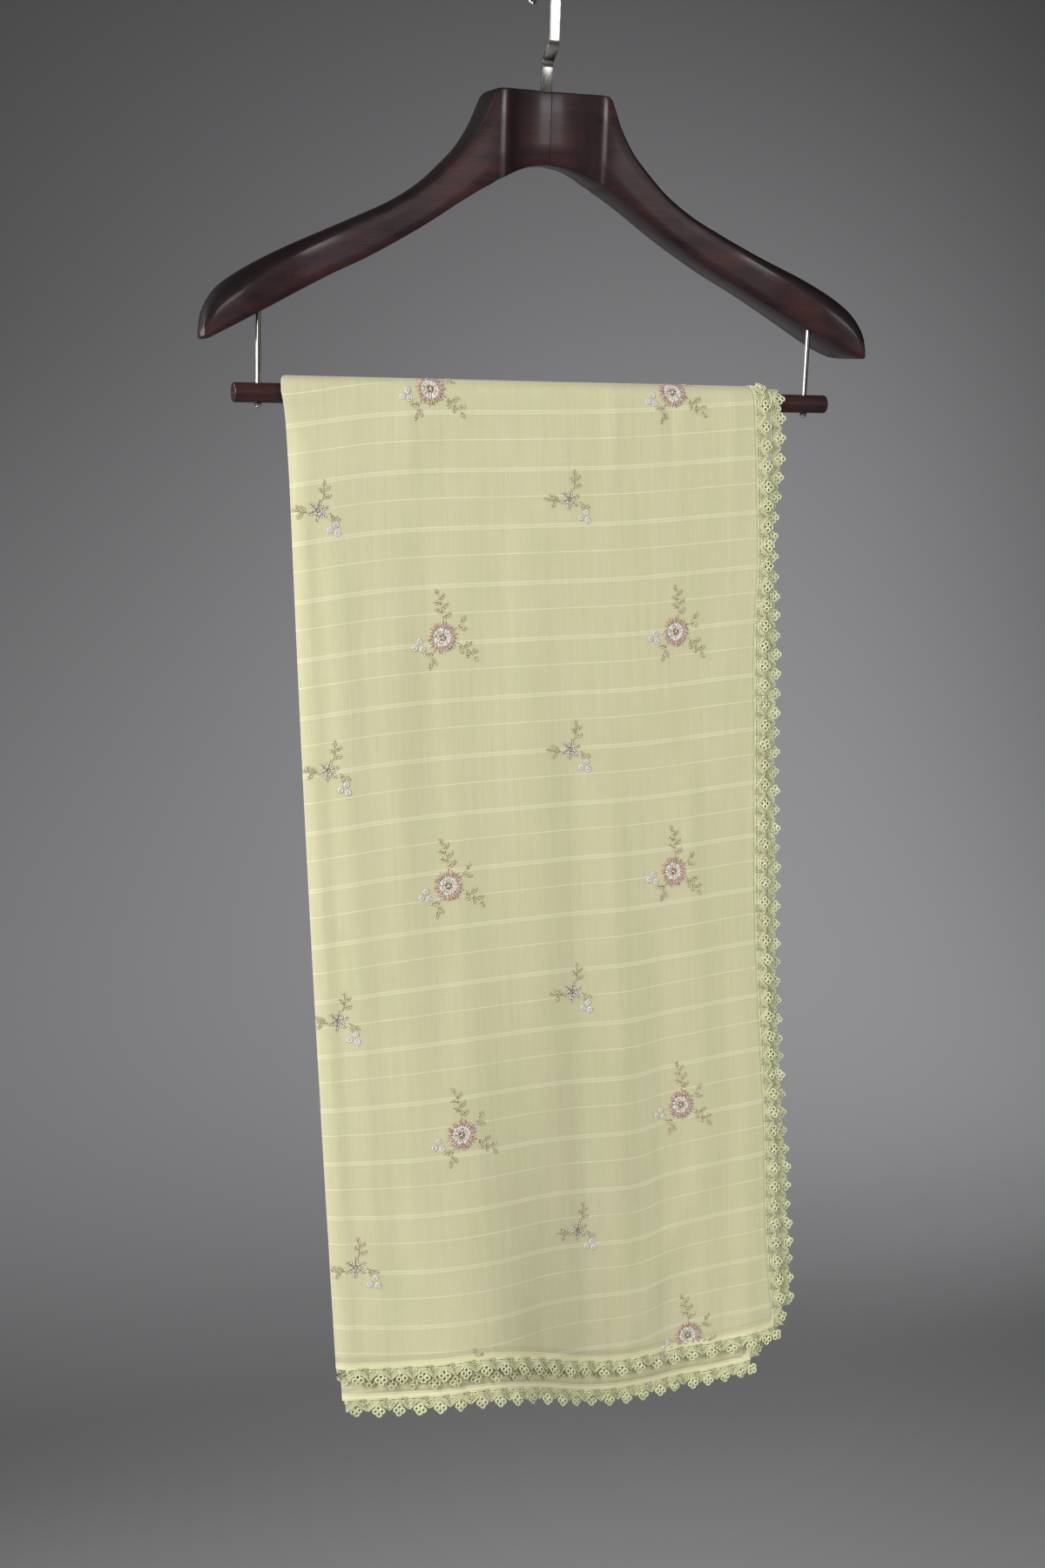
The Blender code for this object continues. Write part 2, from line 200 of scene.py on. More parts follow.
FLOOR_BELOW_BAR = 1.05
SWEEP_WIDTH = 9.0
SWEEP_DEPTH = 2.6
SWEEP_RADIUS = 1.2
WALL_HEIGHT = 4.0
PALE_DEPTH = 0.0
PALE_FADE = 1.1
PAPER_PALE = (0.40, 0.40, 0.405)
PAPER_GREY = (0.20, 0.20, 0.206)

paper = Finish("studio paper", Roughness=0.9)
depth = paper.level("SeparateXYZ", "Y", None, {0: paper.node("TexCoord").outputs["Object"]})
floor_level = BAR.z - FLOOR_BELOW_BAR
# painted falloff: the paper's colour goes from pale to grey with depth
painted_falloff = ((depth - PALE_DEPTH) / PALE_FADE).kept()
paper.feed("Base Color", paper.mix(painted_falloff, PAPER_PALE, PAPER_GREY))
profile = [(-3.0, 0.0), (SWEEP_DEPTH - SWEEP_RADIUS, 0.0)]
for step in range(1, 25):
    angle = math.pi / 2 * step / 24
    profile.append((SWEEP_DEPTH - SWEEP_RADIUS + SWEEP_RADIUS * math.sin(angle),
                    SWEEP_RADIUS * (1 - math.cos(angle))))
profile.append((SWEEP_DEPTH, WALL_HEIGHT))
points = [(side * SWEEP_WIDTH / 2, y, floor_level + z) for y, z in profile for side in (-1, 1)]
faces = [(2 * step, 2 * step + 1, 2 * step + 3, 2 * step + 2) for step in range(len(profile) - 1)]
sweep = link_mesh("floor_sweep", points, faces, paper.material)
sweep.data.shade_smooth()

world = bpy.data.worlds.new("studio")
world.use_nodes = True
world.node_tree.nodes["Background"].inputs["Color"].default_value = (0.75, 0.76, 0.78, 1.0)
world.node_tree.nodes["Background"].inputs["Strength"].default_value = 0.12
bpy.context.scene.world = world
bpy.context.scene.view_settings.view_transform = "Standard"

LIGHTS = (
    # name, place from the bar, aim from the bar, width, height, watts, spread in degrees
    ("key", (-1.9, -0.9, 0.35), (0.0, 0.0, -0.25), 1.0, 1.6, 13.5, 90),
    ("fill", (0.75, -2.25, 0.25), (0.05, 0.0, -0.36), 1.8, 2.0, 7.3, 80),
    ("glint", (0.96, -2.3, 0.28), (0.0, 0.0, 0.2), 0.6, 0.4, 0.9, 60),
    ("rim", (-1.5, 0.8, 0.3), (0.0, 0.0, -0.3), 0.5, 1.6, 5.0, 100),
    ("background", (1.6, 0.9, 0.0), (1.35, 2.6, -0.25), 1.4, 1.4, 13.0, 120),
    ("sweep", (0.4, 1.0, -0.05), (0.6, 2.1, -0.95), 3.0, 0.5, 7.2, 115),
    ("behind", (0.5, 2.1, 0.5), (0.0, 0.0, -0.35), 1.5, 1.5, 4.0, 70),
)
for name, place, aim, width, tall, watts, spread in LIGHTS:
    lamp = bpy.data.lights.new(name, "AREA")
    lamp.shape = "RECTANGLE"
    lamp.size = width
    lamp.size_y = tall
    lamp.energy = watts
    lamp.spread = math.radians(spread)
    lamp_object = bpy.data.objects.new(name, lamp)
    lamp_object.visible_camera = False
    lamp_object.visible_glossy = name not in ("fill", "behind")
    lamp_object.location = BAR + Vector(place)
    lamp_object.rotation_euler = (Vector(aim) - Vector(place)).to_track_quat("-Z", "Y").to_euler()
    bpy.context.scene.collection.objects.link(lamp_object)

# --------------------------------------
# Shoulders: two carved arms of mahogany-stained beech, glued on the centre line, flat in front with a
# rounded back and crest, scooped at the neck, and lacquered to a satin shine. Painted shade darkens the
# crest, back and underside and the neck's scoop, with a painted highlight along the scoop's sharp edge.
LEAN = math.radians(8.6)
ARM = np.array((
    # out, front, back, low, bevel, top, crest, heel: the same sections as the frame's, in millimetres
    (0.0, 7.0, 25.6, 142.3, 185.4, 186.2, 10.5, 0.0),
    (12.0, 6.1, 26.5, 140.8, 185.4, 186.2, 9.6, 0.0),
    (24.0, 3.5, 29.1, 136.8, 185.2, 186.0, 7.0, 0.0),
    (33.0, 0.2, 32.4, 132.6, 184.8, 185.6, 3.8, 0.0),
    (36.5, 0.5, 32.2, 131.0, 184.0, 185.2, 3.6, 0.0),
    (39.0, 0.8, 32.0, 129.2, 180.5, 183.5, 4.0, 0.0),
    (45.0, 1.2, 31.8, 125.9, 166.0, 170.0, 5.0, 0.0),
    (55.0, 1.6, 31.5, 119.9, 150.2, 153.9, 5.6, 0.0),
    (65.0, 1.9, 31.2, 113.4, 139.4, 143.2, 6.1, 0.0),
    (80.0, 2.2, 31.0, 103.6, 125.7, 129.6, 6.8, 0.0),
    (100.0, 2.4, 30.8, 91.8, 112.8, 116.8, 8.1, 0.0),
    (120.0, 2.4, 30.6, 80.9, 102.9, 107.3, 8.6, 0.0),
    (140.0, 2.0, 30.8, 71.4, 93.4, 98.4, 8.0, 0.0),
    (160.0, 0.0, 31.4, 61.2, 83.0, 89.7, 5.5, 0.0),
    (180.0, -5.0, 32.0, 51.0, 70.5, 80.5, 0.0, 0.4),
    (198.0, -10.0, 31.0, 42.0, 58.0, 70.8, -4.5, 1.6),
    (208.0, -12.0, 27.0, 37.0, 51.5, 64.2, -6.5, 2.6),
    (214.0, -13.0, 21.0, 34.0, 46.5, 59.0, -8.0, 2.8),
    (219.0, -13.8, 12.0, 31.6, 41.0, 52.6, -9.0, 1.4),
    (222.5, -13.8, 3.0, 30.6, 37.5, 46.0, -9.5, 0.3),
    (224.5, -12.2, -4.0, 30.8, 34.5, 38.5, -8.5, 0.0),
))
# Painted shade in the neck's scoop and a painted highlight along its sharp edge, in millimetres out from the
# seam.
SCOOP_EDGE = 33.0
SCOOP_DARK = 26.0
SCOOP_SPREAD = 14.0
SCOOP_PAINTED_SHADE = 0.75
EDGE_PAINTED_HIGHLIGHT = -0.45
ARM_STEP = 3.0
ARM_EVEN = 212.0
ARM_EXTRA = (33.0, 36.5, 39.0, 214.0, 216.5, 219.0, 221.0, 222.5, 224.5)
ARM_ROUND = 1.6
HALF_SEAM = 0.15


def curve(spots, heights, at):
    """Smooth curve through heights at spots, read at any places; straight past its ends."""
    spots, heights, at = (np.asarray(value, float) for value in (spots, heights, at))
    rise = np.diff(heights) / np.diff(spots)
    slopes = np.concatenate(([rise[0]], (rise[:-1] + rise[1:]) / 2, [rise[-1]]))
    slopes[1:-1][rise[:-1] * rise[1:] <= 0] = 0.0
    inside = np.clip(at, spots[0], spots[-1])
    span = np.clip(np.searchsorted(spots, inside, side="right") - 1, 0, len(spots) - 2)
    width = spots[span + 1] - spots[span]
    part = (inside - spots[span]) / width
    rest = 1 - part
    value = (heights[span] * (1 + 2 * part) * rest ** 2 + slopes[span] * width * part * rest ** 2
             + heights[span + 1] * part ** 2 * (3 - 2 * part) - slopes[span + 1] * width * part ** 2 * rest)
    return value + np.where(at < spots[0], slopes[0], slopes[-1]) * (at - inside)


def from_hanger(y, z):
    """Point on the hanger's leaning plane, in millimetres from the bar, as (y, z) in metres."""
    return (BAR.y + (y * math.cos(LEAN) - z * math.sin(LEAN)) * MM,
            BAR.z + (y * math.sin(LEAN) + z * math.cos(LEAN)) * MM)


def arm_profile(row):
    """Points round one section of the arm, each with its share of painted shade: most on the crest, less on
    the back and underside.
    """
    front, back, low, bevel, top, crest, heel = row
    drop = top - bevel
    heel = low - heel
    corner = ARM_ROUND * 0.3
    return (
        (front + ARM_ROUND, low, 0.35), (front + corner, low + corner, 0.25), (front, low + ARM_ROUND, 0.0),
        (front, low + 0.3 * (bevel - low), 0.0), (front, low + 0.7 * (bevel - low), 0.0),
        (front, bevel - 0.8, 0.15), (front + 0.05 * (crest - front), bevel + 0.2 * drop, 0.7),
        (front + 0.30 * (crest - front), bevel + 0.64 * drop, 1.0),
        (front + 0.62 * (crest - front), bevel + 0.90 * drop, 1.0), (crest, top, 1.0),
        (0.75 * crest + 0.25 * back, top - 0.02 * drop, 1.0),
        (0.50 * crest + 0.50 * back, top - 0.10 * drop, 0.9),
        (0.22 * crest + 0.78 * back, top - 0.32 * drop, 0.8),
        (back - 0.12 * drop - ARM_ROUND, top - 0.60 * drop, 0.6), (back, top - 0.95 * drop - ARM_ROUND, 0.3),
        (back, low + 0.5 * (top - low), 0.1), (back, heel + ARM_ROUND, 0.2),
        (back - corner, heel + corner, 0.3), (back - ARM_ROUND, heel, 0.35),
        ((front + back) / 2, (low + heel) / 2, 0.3),
    )


def neck_shade(out, y, z, row, shade):
    """Painted shade in the neck's scoop, with a painted highlight along the scoop's sharp edge."""
    front, _, low, bevel = row[:4]
    if y > front + 1.0 or not low < z < bevel:
        return shade
    if abs(out - SCOOP_EDGE) < 1.0:
        return EDGE_PAINTED_HIGHLIGHT
    scoop_painted_shade = SCOOP_PAINTED_SHADE * max(0.0, 1.0 - abs(out - SCOOP_DARK) / SCOOP_SPREAD)
    return max(shade, scoop_painted_shade if out < SCOOP_EDGE else 0.0)


def hang_on(piece, slot, *replaced):
    """Each piece hangs in the one body and stands for the nodes it replaces; its slot is not used."""
    if replaced:
        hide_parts(*replaced)
    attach(piece, "root")
    return piece


def finish_piece(piece, material, slot, *replaced, angle=35.0):
    piece.data.materials.append(material)
    bpy.ops.object.shade_smooth_by_angle(angle=math.radians(angle))
    piece.select_set(False)
    hang_on(piece, slot, *replaced)


def extrude_rings(piece, rings):
    """Moves the primitive's points to the first ring and extrudes them through the others, in edit mode."""
    bpy.ops.object.mode_set(mode="EDIT")
    for index, ring in enumerate(rings):
        if index:
            bpy.ops.mesh.extrude_region_move()
        shell = bmesh.from_edit_mesh(piece.data)
        for vert, place in zip([vert for vert in shell.verts if vert.select], ring):
            vert.co = place
        bmesh.update_edit_mesh(piece.data)


def add_shoulder(which, side, material):
    """A ring at the centre seam, extruded section by section to the tip and closed at both ends."""
    stations = np.unique(np.concatenate((np.arange(0.0, ARM_EVEN, ARM_STEP), ARM_EXTRA)))
    rows = np.stack([curve(ARM[:, 0], ARM[:, column], stations) for column in range(1, 8)], axis=1)
    rings, shades = [], []
    for out, row in zip(stations, rows):
        profile = arm_profile(row)
        rings.append([(side * (out + HALF_SEAM) * MM, *from_hanger(y, z)) for y, z, _ in profile])
        shades += [neck_shade(out, y, z, row, shade) for y, z, shade in profile]
    bpy.ops.mesh.primitive_circle_add(vertices=len(rings[0]), radius=10 * MM, fill_type="NOTHING")
    shoulder = bpy.context.object
    shoulder.name = shoulder.data.name = "arm_" + which
    extrude_rings(shoulder, rings)
    bpy.ops.mesh.edge_face_add()
    shell = bmesh.from_edit_mesh(shoulder.data)
    shell.verts.ensure_lookup_table()
    bmesh.ops.contextual_create(shell, geom=shell.verts[:len(rings[0])])
    bmesh.ops.recalc_face_normals(shell, faces=shell.faces)
    bmesh.update_edit_mesh(shoulder.data)
    bpy.ops.object.mode_set(mode="OBJECT")
    stain = shoulder.data.attributes.new("stain", "FLOAT", "POINT")
    stain.data.foreach_set("value", np.array(shades, np.float32))
    finish_piece(shoulder, material, "mahogany", "shoulder_" + which, angle=38.0)


def wood_finish(name, painted_shading):
    """Beech dyed to mahogany: long dark pores, cloudy dye and a satin lacquer, and on the arms painted shade
    and a painted highlight.
    """
    wood = Finish(name, Coat_Roughness=0.14, IOR=1.4, Specular_IOR_Level=0.3)
    place = wood.node("TexCoord").outputs["Object"]
    figure = wood.noise(place, 1.0, 5.0, (14.0, 120.0, 120.0))
    pores = wood.noise(place, 1.0, 2.0, (90.0, 1400.0, 1400.0))
    cloud = wood.noise(place, 26.0, 2.0)
    grain = wood.node("ValToRGB", {"stops": ((0.28, (0.011, 0.0050, 0.0060)), (0.48, (0.033, 0.015, 0.017)),
                                             (0.74, (0.068, 0.021, 0.018)))},
                      {0: figure * 0.62 + cloud * 0.38})
    colour = wood.mix(pores.hump(0.34, 0.09) * 0.55, grain.outputs[0], (0.006, 0.002, 0.002))
    worn = 0.27 + cloud * 0.10
    lacquer = 0.22 + figure * 0.1
    # On the arms a point attribute paints shade (above 0) and a highlight (below 0) into the colour; the
    # painted-shade share also makes the lacquer thinner and rougher there.
    if painted_shading:
        crest = wood.level("Attribute", "Fac", {"attribute_name": "stain"})
        painted_shade_share = (crest * 1.0).math("MAXIMUM", 0.0)
        worn = worn + painted_shade_share * 0.30
        lacquer = lacquer * (1 - painted_shade_share * 0.8)
        # painted shade: darker on the crest, back, underside and in the neck's scoop
        colour = wood.mix((crest * 0.93).math("MAXIMUM", 0.0), colour, (0.0045, 0.0025, 0.0030))
        # painted highlight: paler along the neck scoop's sharp edge
        colour = wood.mix((crest * -1.0).math("MAXIMUM", 0.0), colour, (0.11, 0.085, 0.09))
    wood.feed("Base Color", colour)
    wood.feed("Roughness", worn)
    wood.feed("Coat Weight", lacquer)
    wood.bump(pores * 0.5 + figure * 0.5, 0.00015, 0.35)
    return wood.material


carved_wood = wood_finish("mahogany lacquer", True)
for which, side in (("left", -1), ("right", 1)):
    add_shoulder(which, side, carved_wood)

# --------------------------------------
# Trouser bar: a turned dowel of the same stained wood, with eased ends and the lathe centre's mark in each.
# It carries the stole, and the rods hold it up.
BAR_RADIUS = 6.0 * MM
BAR_LENGTH = 405 * MM
BAR_EASE = 1.0 * MM
CENTRE_MARK = 1.4 * MM
MARK_DEPTH = 0.8 * MM


def cylinder(name, radius, length, middle, axis, vertices):
    """Upright cylinder primitive turned to an axis, with that turn and its place applied to the mesh."""
    bpy.ops.mesh.primitive_cylinder_add(vertices=vertices, radius=radius, depth=length)
    piece = bpy.context.object
    piece.name = piece.data.name = name
    turned = axis.to_track_quat("Z", "Y").to_matrix().to_4x4()
    piece.data.transform(Matrix.Translation(middle) @ turned)
    return piece


bar = cylinder("trouser_dowel", BAR_RADIUS, BAR_LENGTH, BAR, Vector((1, 0, 0)), 64)
bpy.ops.object.mode_set(mode="EDIT")
shell = bmesh.from_edit_mesh(bar.data)
ends = [face for face in shell.faces if len(face.verts) > 4]
bmesh.ops.bevel(shell, geom=[edge for face in ends for edge in face.edges], offset=BAR_EASE, segments=4,
                profile=0.6, affect="EDGES")
ends = [face for face in shell.faces if len(face.verts) > 4]
for face in ends:
    bmesh.ops.inset_individual(shell, faces=[face], thickness=BAR_RADIUS - BAR_EASE - CENTRE_MARK)
    bmesh.ops.inset_individual(shell, faces=[face], thickness=CENTRE_MARK * 0.6, depth=-MARK_DEPTH)
bmesh.update_edit_mesh(bar.data)
bpy.ops.object.mode_set(mode="OBJECT")
finish_piece(bar, wood_finish("mahogany dowel", False), "mahogany", "trouser_bar")

# --------------------------------------
# Rods: bright drawn steel wire, screwed up into the arms and through the bar. A small domed nut below the
# bar caps each.
ROD_X = 187 * MM
ROD_RADIUS = 1.6 * MM
ROD_TOP = 58.0
NUT_HEIGHT = 3.2
NUT_STEPS = (
    # how far down the nut each rounded ring sits, its radius and half its height, in millimetres
    (0.12, 2.5, 0.8),
    (0.42, 2.3, 0.9),
    (0.70, 1.8, 1.0),
)

steel = Finish("satin steel", Metallic=1.0)
brushed = steel.noise(steel.node("TexCoord").outputs["Object"], 1.0, 3.0, (2200.0, 2200.0, 40.0))
steel.feed("Base Color", steel.mix(brushed, (0.40, 0.38, 0.35), (0.66, 0.64, 0.60)))
steel.feed("Roughness", 0.12 + brushed * 0.16)
steel.bump(brushed, 0.00002, 0.4)

lean_up = Vector((0, -math.sin(LEAN), math.cos(LEAN)))
for name, side in (("rod_left", -1), ("rod_right", 1)):
    crossing = BAR + Vector((side * ROD_X, 0, 0))
    foot = crossing - lean_up * (BAR_RADIUS + NUT_HEIGHT * MM * 0.8)
    head = crossing + lean_up * ROD_TOP * MM
    rod = cylinder(name + "_wire", ROD_RADIUS, (head - foot).length, (head + foot) / 2, lean_up, 24)
    wire = bmesh.new()
    wire.from_mesh(rod.data)
    turned = lean_up.to_track_quat("Z", "Y").to_matrix().to_4x4()
    for share, radius, tall in NUT_STEPS:
        middle = crossing - lean_up * (BAR_RADIUS + NUT_HEIGHT * MM * share)
        squashed = Matrix.Diagonal((1.0, 1.0, tall / radius, 1.0))
        bmesh.ops.create_uvsphere(wire, u_segments=24, v_segments=12, radius=radius * MM,
                                  matrix=Matrix.Translation(middle) @ turned @ squashed)
    wire.to_mesh(rod.data)
    wire.free()
    finish_piece(rod, steel.material, "satin_steel", name)

# --------------------------------------
# Hook: a flat strap of satin steel, set in the neck with its broad side to the front, cranked forward above
# it and rolled over. Its edges are eased.
STRAP_WIDTH = 7.5
STRAP_THICKNESS = 2.2
STRAP_FOOT = 171.0
STRAP_Y = 16.3
STEM_Y = 7.0
JOGGLE_LOW = 203.9
JOGGLE_HIGH = 213.2
CRANK_ROUND = 3.0
HOOK_CENTRE_Z = 255.0
HOOK_RADIUS = 19.0
HOOK_END = math.radians(-40)
HOOK_STEPS = 44
END_STEPS = 4
END_TAPER = 0.6
END_LEAST = 0.1
STRAP_EASE = 0.45 * MM


def rounded(path, radius, steps=6):
    """Path with each inner corner replaced by a few points of a soft bend."""
    smooth = [path[0]]
    for before, corner, after in zip(path, path[1:], path[2:]):
        into = (corner - before).normalized()
        out = (after - corner).normalized()
        reach = min(radius, (corner - before).length / 2, (after - corner).length / 2)
        for step in range(steps + 1):
            part = step / steps
            smooth.append((corner - into * reach) * (1 - part) ** 2 + corner * 2 * part * (1 - part)
                          + (corner + out * reach) * part ** 2)
    return smooth + [path[-1]]


middle_y = STEM_Y + STRAP_THICKNESS / 2 + HOOK_RADIUS
roll = HOOK_RADIUS + STRAP_THICKNESS / 2
stem = [Vector((STRAP_Y, STRAP_FOOT)), Vector((STRAP_Y, JOGGLE_LOW)), Vector((STEM_Y, JOGGLE_HIGH)),
        Vector((STEM_Y, HOOK_CENTRE_Z))]
path = rounded(stem, CRANK_ROUND)
for step in range(1, HOOK_STEPS + 1):
    angle = math.pi + (HOOK_END - math.pi) * step / HOOK_STEPS
    path.append(Vector((middle_y + roll * math.cos(angle), HOOK_CENTRE_Z + roll * math.sin(angle))))
rings = []
for index, point in enumerate(path):
    along = (path[min(index + 1, len(path) - 1)] - path[max(index - 1, 0)]).normalized()
    across = Vector((-along.y, along.x)) * STRAP_THICKNESS / 2
    from_end = min(len(path) - 1 - index, END_STEPS) / END_STEPS
    half = STRAP_WIDTH / 2 * math.sqrt(max(1 - (1 - from_end) ** 2 * END_TAPER, END_LEAST))
    corners = ((-half, across), (half, across), (half, -across), (-half, -across))
    rings.append([(x * MM, *from_hanger(*(point + offset))) for x, offset in corners])
bpy.ops.mesh.primitive_plane_add(size=1.0)
hook = bpy.context.object
hook.name = hook.data.name = "hook_strap"
extrude_rings(hook, rings)
shell = bmesh.from_edit_mesh(hook.data)
bmesh.ops.recalc_face_normals(shell, faces=shell.faces)
bmesh.update_edit_mesh(hook.data)
bpy.ops.object.mode_set(mode="OBJECT")
bevel = hook.modifiers.new("eased edges", "BEVEL")
bevel.width = STRAP_EASE
bevel.segments = 2
bevel.angle_limit = math.radians(50)
bpy.ops.object.modifier_apply(modifier=bevel.name)
finish_piece(hook, steel.material, "satin_steel", "hook", angle=45.0)

# --------------------------------------
# Stole: one length of fine cotton-silk voile, folded in half lengthwise with its fold on the left, doubled
# across, and hung over the bar with that second fold behind. Nothing fixes it: it hangs by its own weight.
FOLD_AT_BAR = -171.0
LAYER_CENTRE = 8.85
LAYER_STEP = 1.3
FOLD_ROUND = LAYER_STEP / 2
FOLD_TURN = FOLD_ROUND * math.pi / 2
FOLDS = np.array((
    # across, hem_x, swing, hem, second: the same stations as the frame's, in millimetres
    (0, -159.6, 0.0, 605.0, 0.0),
    (37, -122.0, -5.0, 608.0, 4.0),
    (65, -94.0, -11.0, 610.0, 5.0),
    (89, -69.5, -13.5, 611.5, 5.0),
    (115, -43.0, -10.0, 616.0, 4.5),
    (141, -19.0, 0.0, 622.0, 3.0),
    (168, 7.0, 8.0, 630.0, 1.0),
    (195, 34.0, 13.0, 635.0, 0.0),
    (222, 62.0, 15.5, 636.0, -1.5),
    (249, 89.0, 17.0, 635.0, -2.0),
    (276, 117.0, 14.0, 634.0, -2.0),
    (290, 130.5, 10.0, 632.0, -2.0),
    (316, 154.5, 8.5, 629.0, -2.0),
))
FULL_DROP = 630.0
GROWTH_START = 60.0
BAR_TURN = 28.3
BACK_DROP = 545.0
BACK_RISE = 8.0
FOLD_TUCK = 9.5
TUCK_BEHIND_BAR = 0.65
TUCK_WIDTH = 37.0
EDGE_TRIM = 0.9
FLARE = 4.6
FLARE_DOWN = 22.0
FLARE_ACROSS = 8.0
FOLD_ROLL = 3.4
FOLD_ROLL_WIDTH = 9.0
FOLD_ROLL_DROP = 40.0
SWELL = 2.5
OUTER_BLOOM = 0.8
BACK_RELIEF = 0.6
CREEP_FROM = 250.0
CREEP_WIDTH = 55.0
PULL_FROM = 230.0
PULL_WIDTH = 80.0
CREASE_FADE_IN = 40.0
CREASE_FADE_OUT = 60.0
FIRST_EDGE = (
    # travel down the front, and how far the first layer's edge stands out (+) or in (-) there
    (-28.0, 0.0), (0.0, 1.2), (60.0, 2.0), (110.0, 1.4), (148.0, -1.9), (217.0, -3.9), (290.0, -5.9),
    (340.0, -6.9), (375.0, -6.6), (424.0, -5.5), (484.0, -3.9), (551.0, -4.5), (591.0, -2.9), (625.0, 0.0),
)
SECOND_EDGE = (
    (-28.0, 2.0), (0.0, 5.6), (24.0, 5.5), (45.0, 4.0), (76.0, -0.5), (95.0, -2.0), (152.0, -1.4),
    (190.0, -2.1), (240.0, -4.3), (310.0, -5.1), (380.0, -7.0), (440.0, -5.8), (490.0, -4.1), (520.0, -1.6),
    (540.0, -2.6), (570.0, -1.3), (608.0, -1.1), (640.0, -3.0),
)
THIRD_EDGE = ((-28.0, 0.9), (540.0, 0.9), (600.0, -3.5), (650.0, -5.5))
OUTER = {"phase": 0.0, "fold": 0.0, "edges": (316.0, 324.0), "creep": -10.0, "longer": 0.0, "short": 0.0,
         "second": (0, 1), "drifts": (FIRST_EDGE, SECOND_EDGE)}
INNER = {"phase": math.pi, "fold": 3.0, "edges": (297.0, 303.0), "creep": 10.0, "longer": 21.0, "short": 5.0,
         "second": (0, 0), "drifts": (THIRD_EDGE, THIRD_EDGE)}
HEM_DRIFT = (
    (0.0, 0.0), (62.0, -1.2), (102.0, -3.4), (153.0, -1.2), (210.0, 0.4), (274.0, 0.7), (330.0, -0.8),
)
SOFT_CREASES = (
    # across at the bar, drift over a full drop, half width, height to the front, first and last level
    (13.0, 3.0, 6.0, -0.9, 40.0, 600.0),
    (26.0, 5.0, 9.0, 0.9, 90.0, 640.0),
    (62.0, -8.0, 13.0, 0.9, 120.0, 560.0),
    (84.0, -4.0, 10.0, -0.8, 60.0, 420.0),
    (112.0, 6.0, 15.0, -0.9, 150.0, 640.0),
    (152.0, 2.0, 14.0, 0.8, 60.0, 480.0),
    (183.0, -8.0, 10.0, -0.7, 200.0, 640.0),
    (207.0, -2.0, 9.0, 0.8, 250.0, 650.0),
    (232.0, 4.0, 9.0, -0.8, 320.0, 650.0),
    (258.0, 6.0, 10.0, 0.9, 220.0, 650.0),
    (284.0, 3.0, 8.0, -0.7, 330.0, 640.0),
    (74.0, 10.0, 4.0, 0.8, -30.0, 46.0),
    (214.0, -14.0, 3.6, 0.9, -30.0, 52.0),
    (254.0, 8.0, 4.0, -0.8, -30.0, 40.0),
    (300.0, 4.0, 5.0, 0.7, -30.0, 60.0),
)
DIAGONAL_CREASES = (
    # across and level of the middle, half length and half width, slope, height to the front
    (38.0, 462.0, 46.0, 9.0, -1.1, 1.7),
    (58.0, 486.0, 52.0, 8.0, -1.1, -1.3),
    (22.0, 545.0, 40.0, 8.0, -0.8, 0.9),
    (240.0, 560.0, 60.0, 10.0, 0.5, 0.8),
)


def folds(column, across):
    return curve(FOLDS[:, 0], FOLDS[:, column], across)


def ease(value):
    """0 below 0, 1 above 1 and a smooth step between."""
    part = np.clip(value, 0.0, 1.0)
    return part * part * (3 - 2 * part)


def relief(across, level):
    """How far the soft creases stand to the front, in millimetres."""
    rise = np.zeros(np.broadcast(across, level).shape)
    for middle, drift, width, height, first, last in SOFT_CREASES:
        line = middle + drift * level / FULL_DROP
        fade = ease((level - first) / CREASE_FADE_IN) * ease((last - level) / CREASE_FADE_OUT + 0.5)
        rise += height * fade * np.exp(-((across - line) / width) ** 2)
    for middle, low, reach, width, slope, height in DIAGONAL_CREASES:
        length = math.hypot(1.0, slope)
        along = ((across - middle) + (level - low) * slope) / length
        aside = ((level - low) - (across - middle) * slope) / length
        rise += height * np.exp(-(along / width) ** 2 - (aside / reach) ** 2)
    return rise


def hang(radius, across, travel):
    """Places in metres on a layer of the drape, whose radius round the bar's axis is in millimetres.

    Travel is the level below the axis in front; under nothing it runs over the bar and then down the back.
    """
    level = np.maximum(travel, 0.0)
    over = np.clip(-travel / BAR_TURN, 0.0, 1.0) * np.pi
    behind = np.maximum(-travel - BAR_TURN, 0.0)
    depth = np.maximum(level - GROWTH_START, 0.0) / (FULL_DROP - GROWTH_START)
    back_depth = np.maximum(behind - GROWTH_START, 0.0) / (FULL_DROP - GROWTH_START)
    at_bar = FOLD_AT_BAR + across
    x = at_bar + (folds(1, across) - at_bar) * (depth ** 1.5 + back_depth ** 1.5)
    tucked = TUCK_BEHIND_BAR * (1 - np.cos(over)) / 2 + (1 - TUCK_BEHIND_BAR) * behind / BACK_DROP
    x = x + FOLD_TUCK * tucked * np.maximum(1 - across / TUCK_WIDTH, 0.0)
    flare = np.exp(-level / FLARE_DOWN) * np.exp(-np.maximum(across, 0.0) / FLARE_ACROSS)
    x = x - FLARE * flare * ease((2.2 - over) / 1.4)
    rolled = FOLD_ROLL * np.clip(1 - across / FOLD_ROLL_WIDTH, 0.0, 1.0) ** 2 * ease(level / FOLD_ROLL_DROP)
    swell = (folds(2, across) - OUTER_BLOOM * (radius > LAYER_CENTRE)) * depth ** SWELL
    front = rolled + swell - relief(across, travel) * np.cos(over / 2)
    back = BACK_RELIEF * relief(FOLDS[-1, 0] - across, behind) * ease(behind / GROWTH_START)
    y = -radius * np.cos(over) + np.where(behind > 0, back, front)
    z = radius * np.sin(over) - level - behind
    return np.stack((BAR.x + x * MM, BAR.y + y * MM, BAR.z + z * MM), axis=-1)


def back_foot(across):
    return BACK_DROP - BACK_RISE * across / FOLDS[-1, 0]


